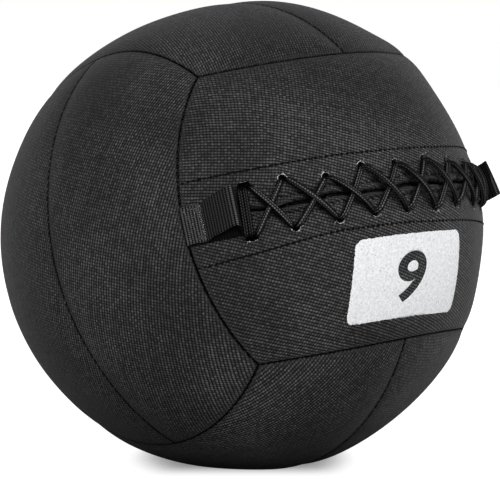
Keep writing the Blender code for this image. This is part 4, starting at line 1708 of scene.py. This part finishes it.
# %% Torn rims
torn_fibre = fibre_material("torn_backing", 0.05, 700, 3.0, (0.36, 0.62),
                            (0.020, 0.017, 0.014, 1), (0.55, 0.53, 0.50, 1), 0.85, 0.1)
upper_tears = (0, 1, 0.9, 0.7, 0.3, 0.45, 0.2, 0.15, 0.1)
lower_tears = (0.35, 0.9, 0.7, 0.35, 0.3, 0.5, 0.25, 0.2, 0.2)


def torn_rims(name, side, tears):
    bm = bmesh.new()
    for index, tear in enumerate(tears):
        along, across = hole_place(index, side)
        reach = math.radians(22 + 84 * tear)
        angle = side * (math.pi / 2 + np.linspace(-reach, reach, 26))
        grow = 1.04 + 0.05 * np.sin(angle * 7 + index)
        wide = slot_stretch(index) * hole_squeeze + hole_radius * grow
        tall = hole_radius * hole_tall * grow
        lift = -0.05 * mm + 0.2 * mm * np.sin(angle * 5 + 2 * index)
        arc = on_cover(along + hole_shift(index, side) + wide * np.cos(angle),
                       across + side * hole_out + tall * np.sin(angle), lift)
        bead = (0.09 + 0.30 * tear) * mm * (1 + 0.45 * np.sin(angle * 11 + index))
        bm.from_mesh(cord_mesh("bead", arc, bead, 6))
        for _ in range(round(4 * tear)):
            start = seeded.uniform(-reach, reach) + math.pi / 2
            out = np.array([math.cos(start), side * math.sin(start)])
            bend = seeded.normal(size=2) * 0.5 * mm
            length = seeded.uniform(1.0, 2.2) * mm
            share = np.linspace(0, 1, 5)
            fibre_along = along + (wide.mean() + length * share) * out[0] + bend[0] * share ** 2
            fibre_across = (across + side * hole_out + (tall.mean() + length * share) * out[1]
                            + bend[1] * share ** 2)
            fibre = on_cover(fibre_along, fibre_across, 0.12 * mm + 0.5 * mm * share)
            bm.from_mesh(cord_mesh("fibre", fibre, 0.11 * mm, 4))
    return show(name, mesh_of(bm, name), [torn_fibre])


for name, side, tears in (("upper_torn_rims", 1, upper_tears),
                          ("lower_torn_rims", -1, lower_tears)):
    rims = torn_rims(name, side, tears)
    print(rims.name, len(rims.data.polygons), "faces")

# %% [markdown]
# ## Weight print
#
# The white field is a thin film pressed onto the lower front panel, with the number
# left out of it so that the vinyl shows through. Its outline and the outline of the
# figure are laid in one plane, the space between them is filled, and the film is
# sliced into strips so that it can bend and is laid on the cover. The outer edge is
# made slightly ragged, as a film is that was pressed onto a weave.

# %% Film material
film, tree, shader = new_material("white_film", 0.55, 0.3)
place = own_place(tree)
marks = use_group(tree, wear, Vector=place, Scale=40.0)
grain = noise_node(tree, place, 650)
color = mix_colors(tree, ramp(tree, grain, 0.3, 0.7), (0.64, 0.645, 0.66, 1),
                   (0.80, 0.805, 0.82, 1))
color = lay_over(tree, color, marks["Specks"], 0.7, grey(0.25, 0.26))
rough = sum_node(tree, "MULTIPLY_ADD", grain, 0.2, 0.45)
finish_look(tree, shader, color, rough, grain, 0.12 * mm)
print("material:", film.name)

# %% Outline of the figure
figure_place = (-5 * mm, -62.5 * mm)
figure = bpy.data.curves.new("figure", "FONT")
figure.body = "9"
figure.size = 50 * mm
figure.offset = 1.3 * mm
figure.shear = 0.16
figure.align_x = "CENTER"
figure.align_y = "CENTER"
figure_piece = bpy.data.objects.new("figure", figure)
bpy.context.scene.collection.objects.link(figure_piece)
figure_mesh = finished_mesh(figure_piece)
bpy.data.objects.remove(figure_piece)
bm = bmesh.new()
bm.from_mesh(figure_mesh)
bmesh.ops.remove_doubles(bm, verts=bm.verts[:], dist=0.01 * mm)
bmesh.ops.scale(bm, verts=bm.verts[:], vec=(1.2, 0.92, 1))
lowest = [min(vert.co[axis] for vert in bm.verts) for axis in (0, 1)]
highest = [max(vert.co[axis] for vert in bm.verts) for axis in (0, 1)]
tall = highest[1] - lowest[1]
bmesh.ops.translate(bm, verts=bm.verts[:], vec=(
    figure_place[0] - (highest[0] + lowest[0]) / 2,
    figure_place[1] - (highest[1] + lowest[1]) / 2, 0))
figure_fill = BVHTree.FromBMesh(bm)
inner_edges = [edge for edge in bm.edges if not edge.is_boundary]
bmesh.ops.delete(bm, geom=bm.faces[:], context="FACES_ONLY")
bmesh.ops.delete(bm, geom=inner_edges, context="EDGES")
bm.to_mesh(figure_mesh)
bm.free()
print(f"figure: {len(figure_mesh.edges)} edges, {tall / mm:.1f} mm tall")

# %% Cut and lay the print
corners = [(-52.5, -32), (49.5, -34), (51.5, -93), (-65, -89.5)]
ragged_edge = 0.16 * mm
strip_width = 2.0
film_lift, film_wall = 0.16 * mm, 0.12 * mm
bm = bmesh.new()
ring = [bm.verts.new((x * mm, y * mm, 0)) for x, y in corners]
bm.faces.new(ring)
bmesh.ops.bevel(bm, geom=bm.verts[:], offset=6 * mm, offset_type="OFFSET", segments=6,
                profile=0.5, affect="VERTICES", material=-1)
long_edges = [edge for edge in bm.edges if edge.calc_length() > 10 * mm]
bmesh.ops.subdivide_edges(bm, edges=long_edges, cuts=70)
for vert in bm.verts:
    vert.co.x += seeded.normal() * ragged_edge
    vert.co.y += seeded.normal() * ragged_edge
bmesh.ops.delete(bm, geom=bm.faces[:], context="FACES_ONLY")
bm.from_mesh(figure_mesh)
bmesh.ops.triangle_fill(bm, edges=bm.edges[:], use_beauty=True, normal=(0, 0, 1))
filled = len(bm.faces)
strokes = [face for face in bm.faces
           if figure_fill.find_nearest(face.calc_center_median())[3] < 0.02 * mm]
bmesh.ops.delete(bm, geom=strokes, context="FACES")
print("film:", filled, "faces,", len(strokes), "of them in the figure's strokes")
for way, low, high in ((Vector((1, 0, 0)), -68, 56), (Vector((0, 1, 0)), -96, -28)):
    for step in np.arange(low, high, strip_width):
        bmesh.ops.bisect_plane(bm, geom=bm.verts[:] + bm.edges[:] + bm.faces[:],
                               plane_co=way * (step * mm), plane_no=way)
bmesh.ops.triangulate(bm, faces=bm.faces[:])
bmesh.ops.recalc_face_normals(bm, faces=bm.faces[:])
print_mesh = bpy.data.meshes.new("weight_print")
bm.to_mesh(print_mesh)
bm.free()
flat = mesh_points(print_mesh)
set_points(print_mesh, on_cover(flat[:, 0], flat[:, 1], film_lift))
print_mesh.shade_smooth()
weight_print = show("weight_print_film", print_mesh, [film])
give_wall(weight_print, film_wall, 0.0)
print("print:", len(print_mesh.polygons), "faces")
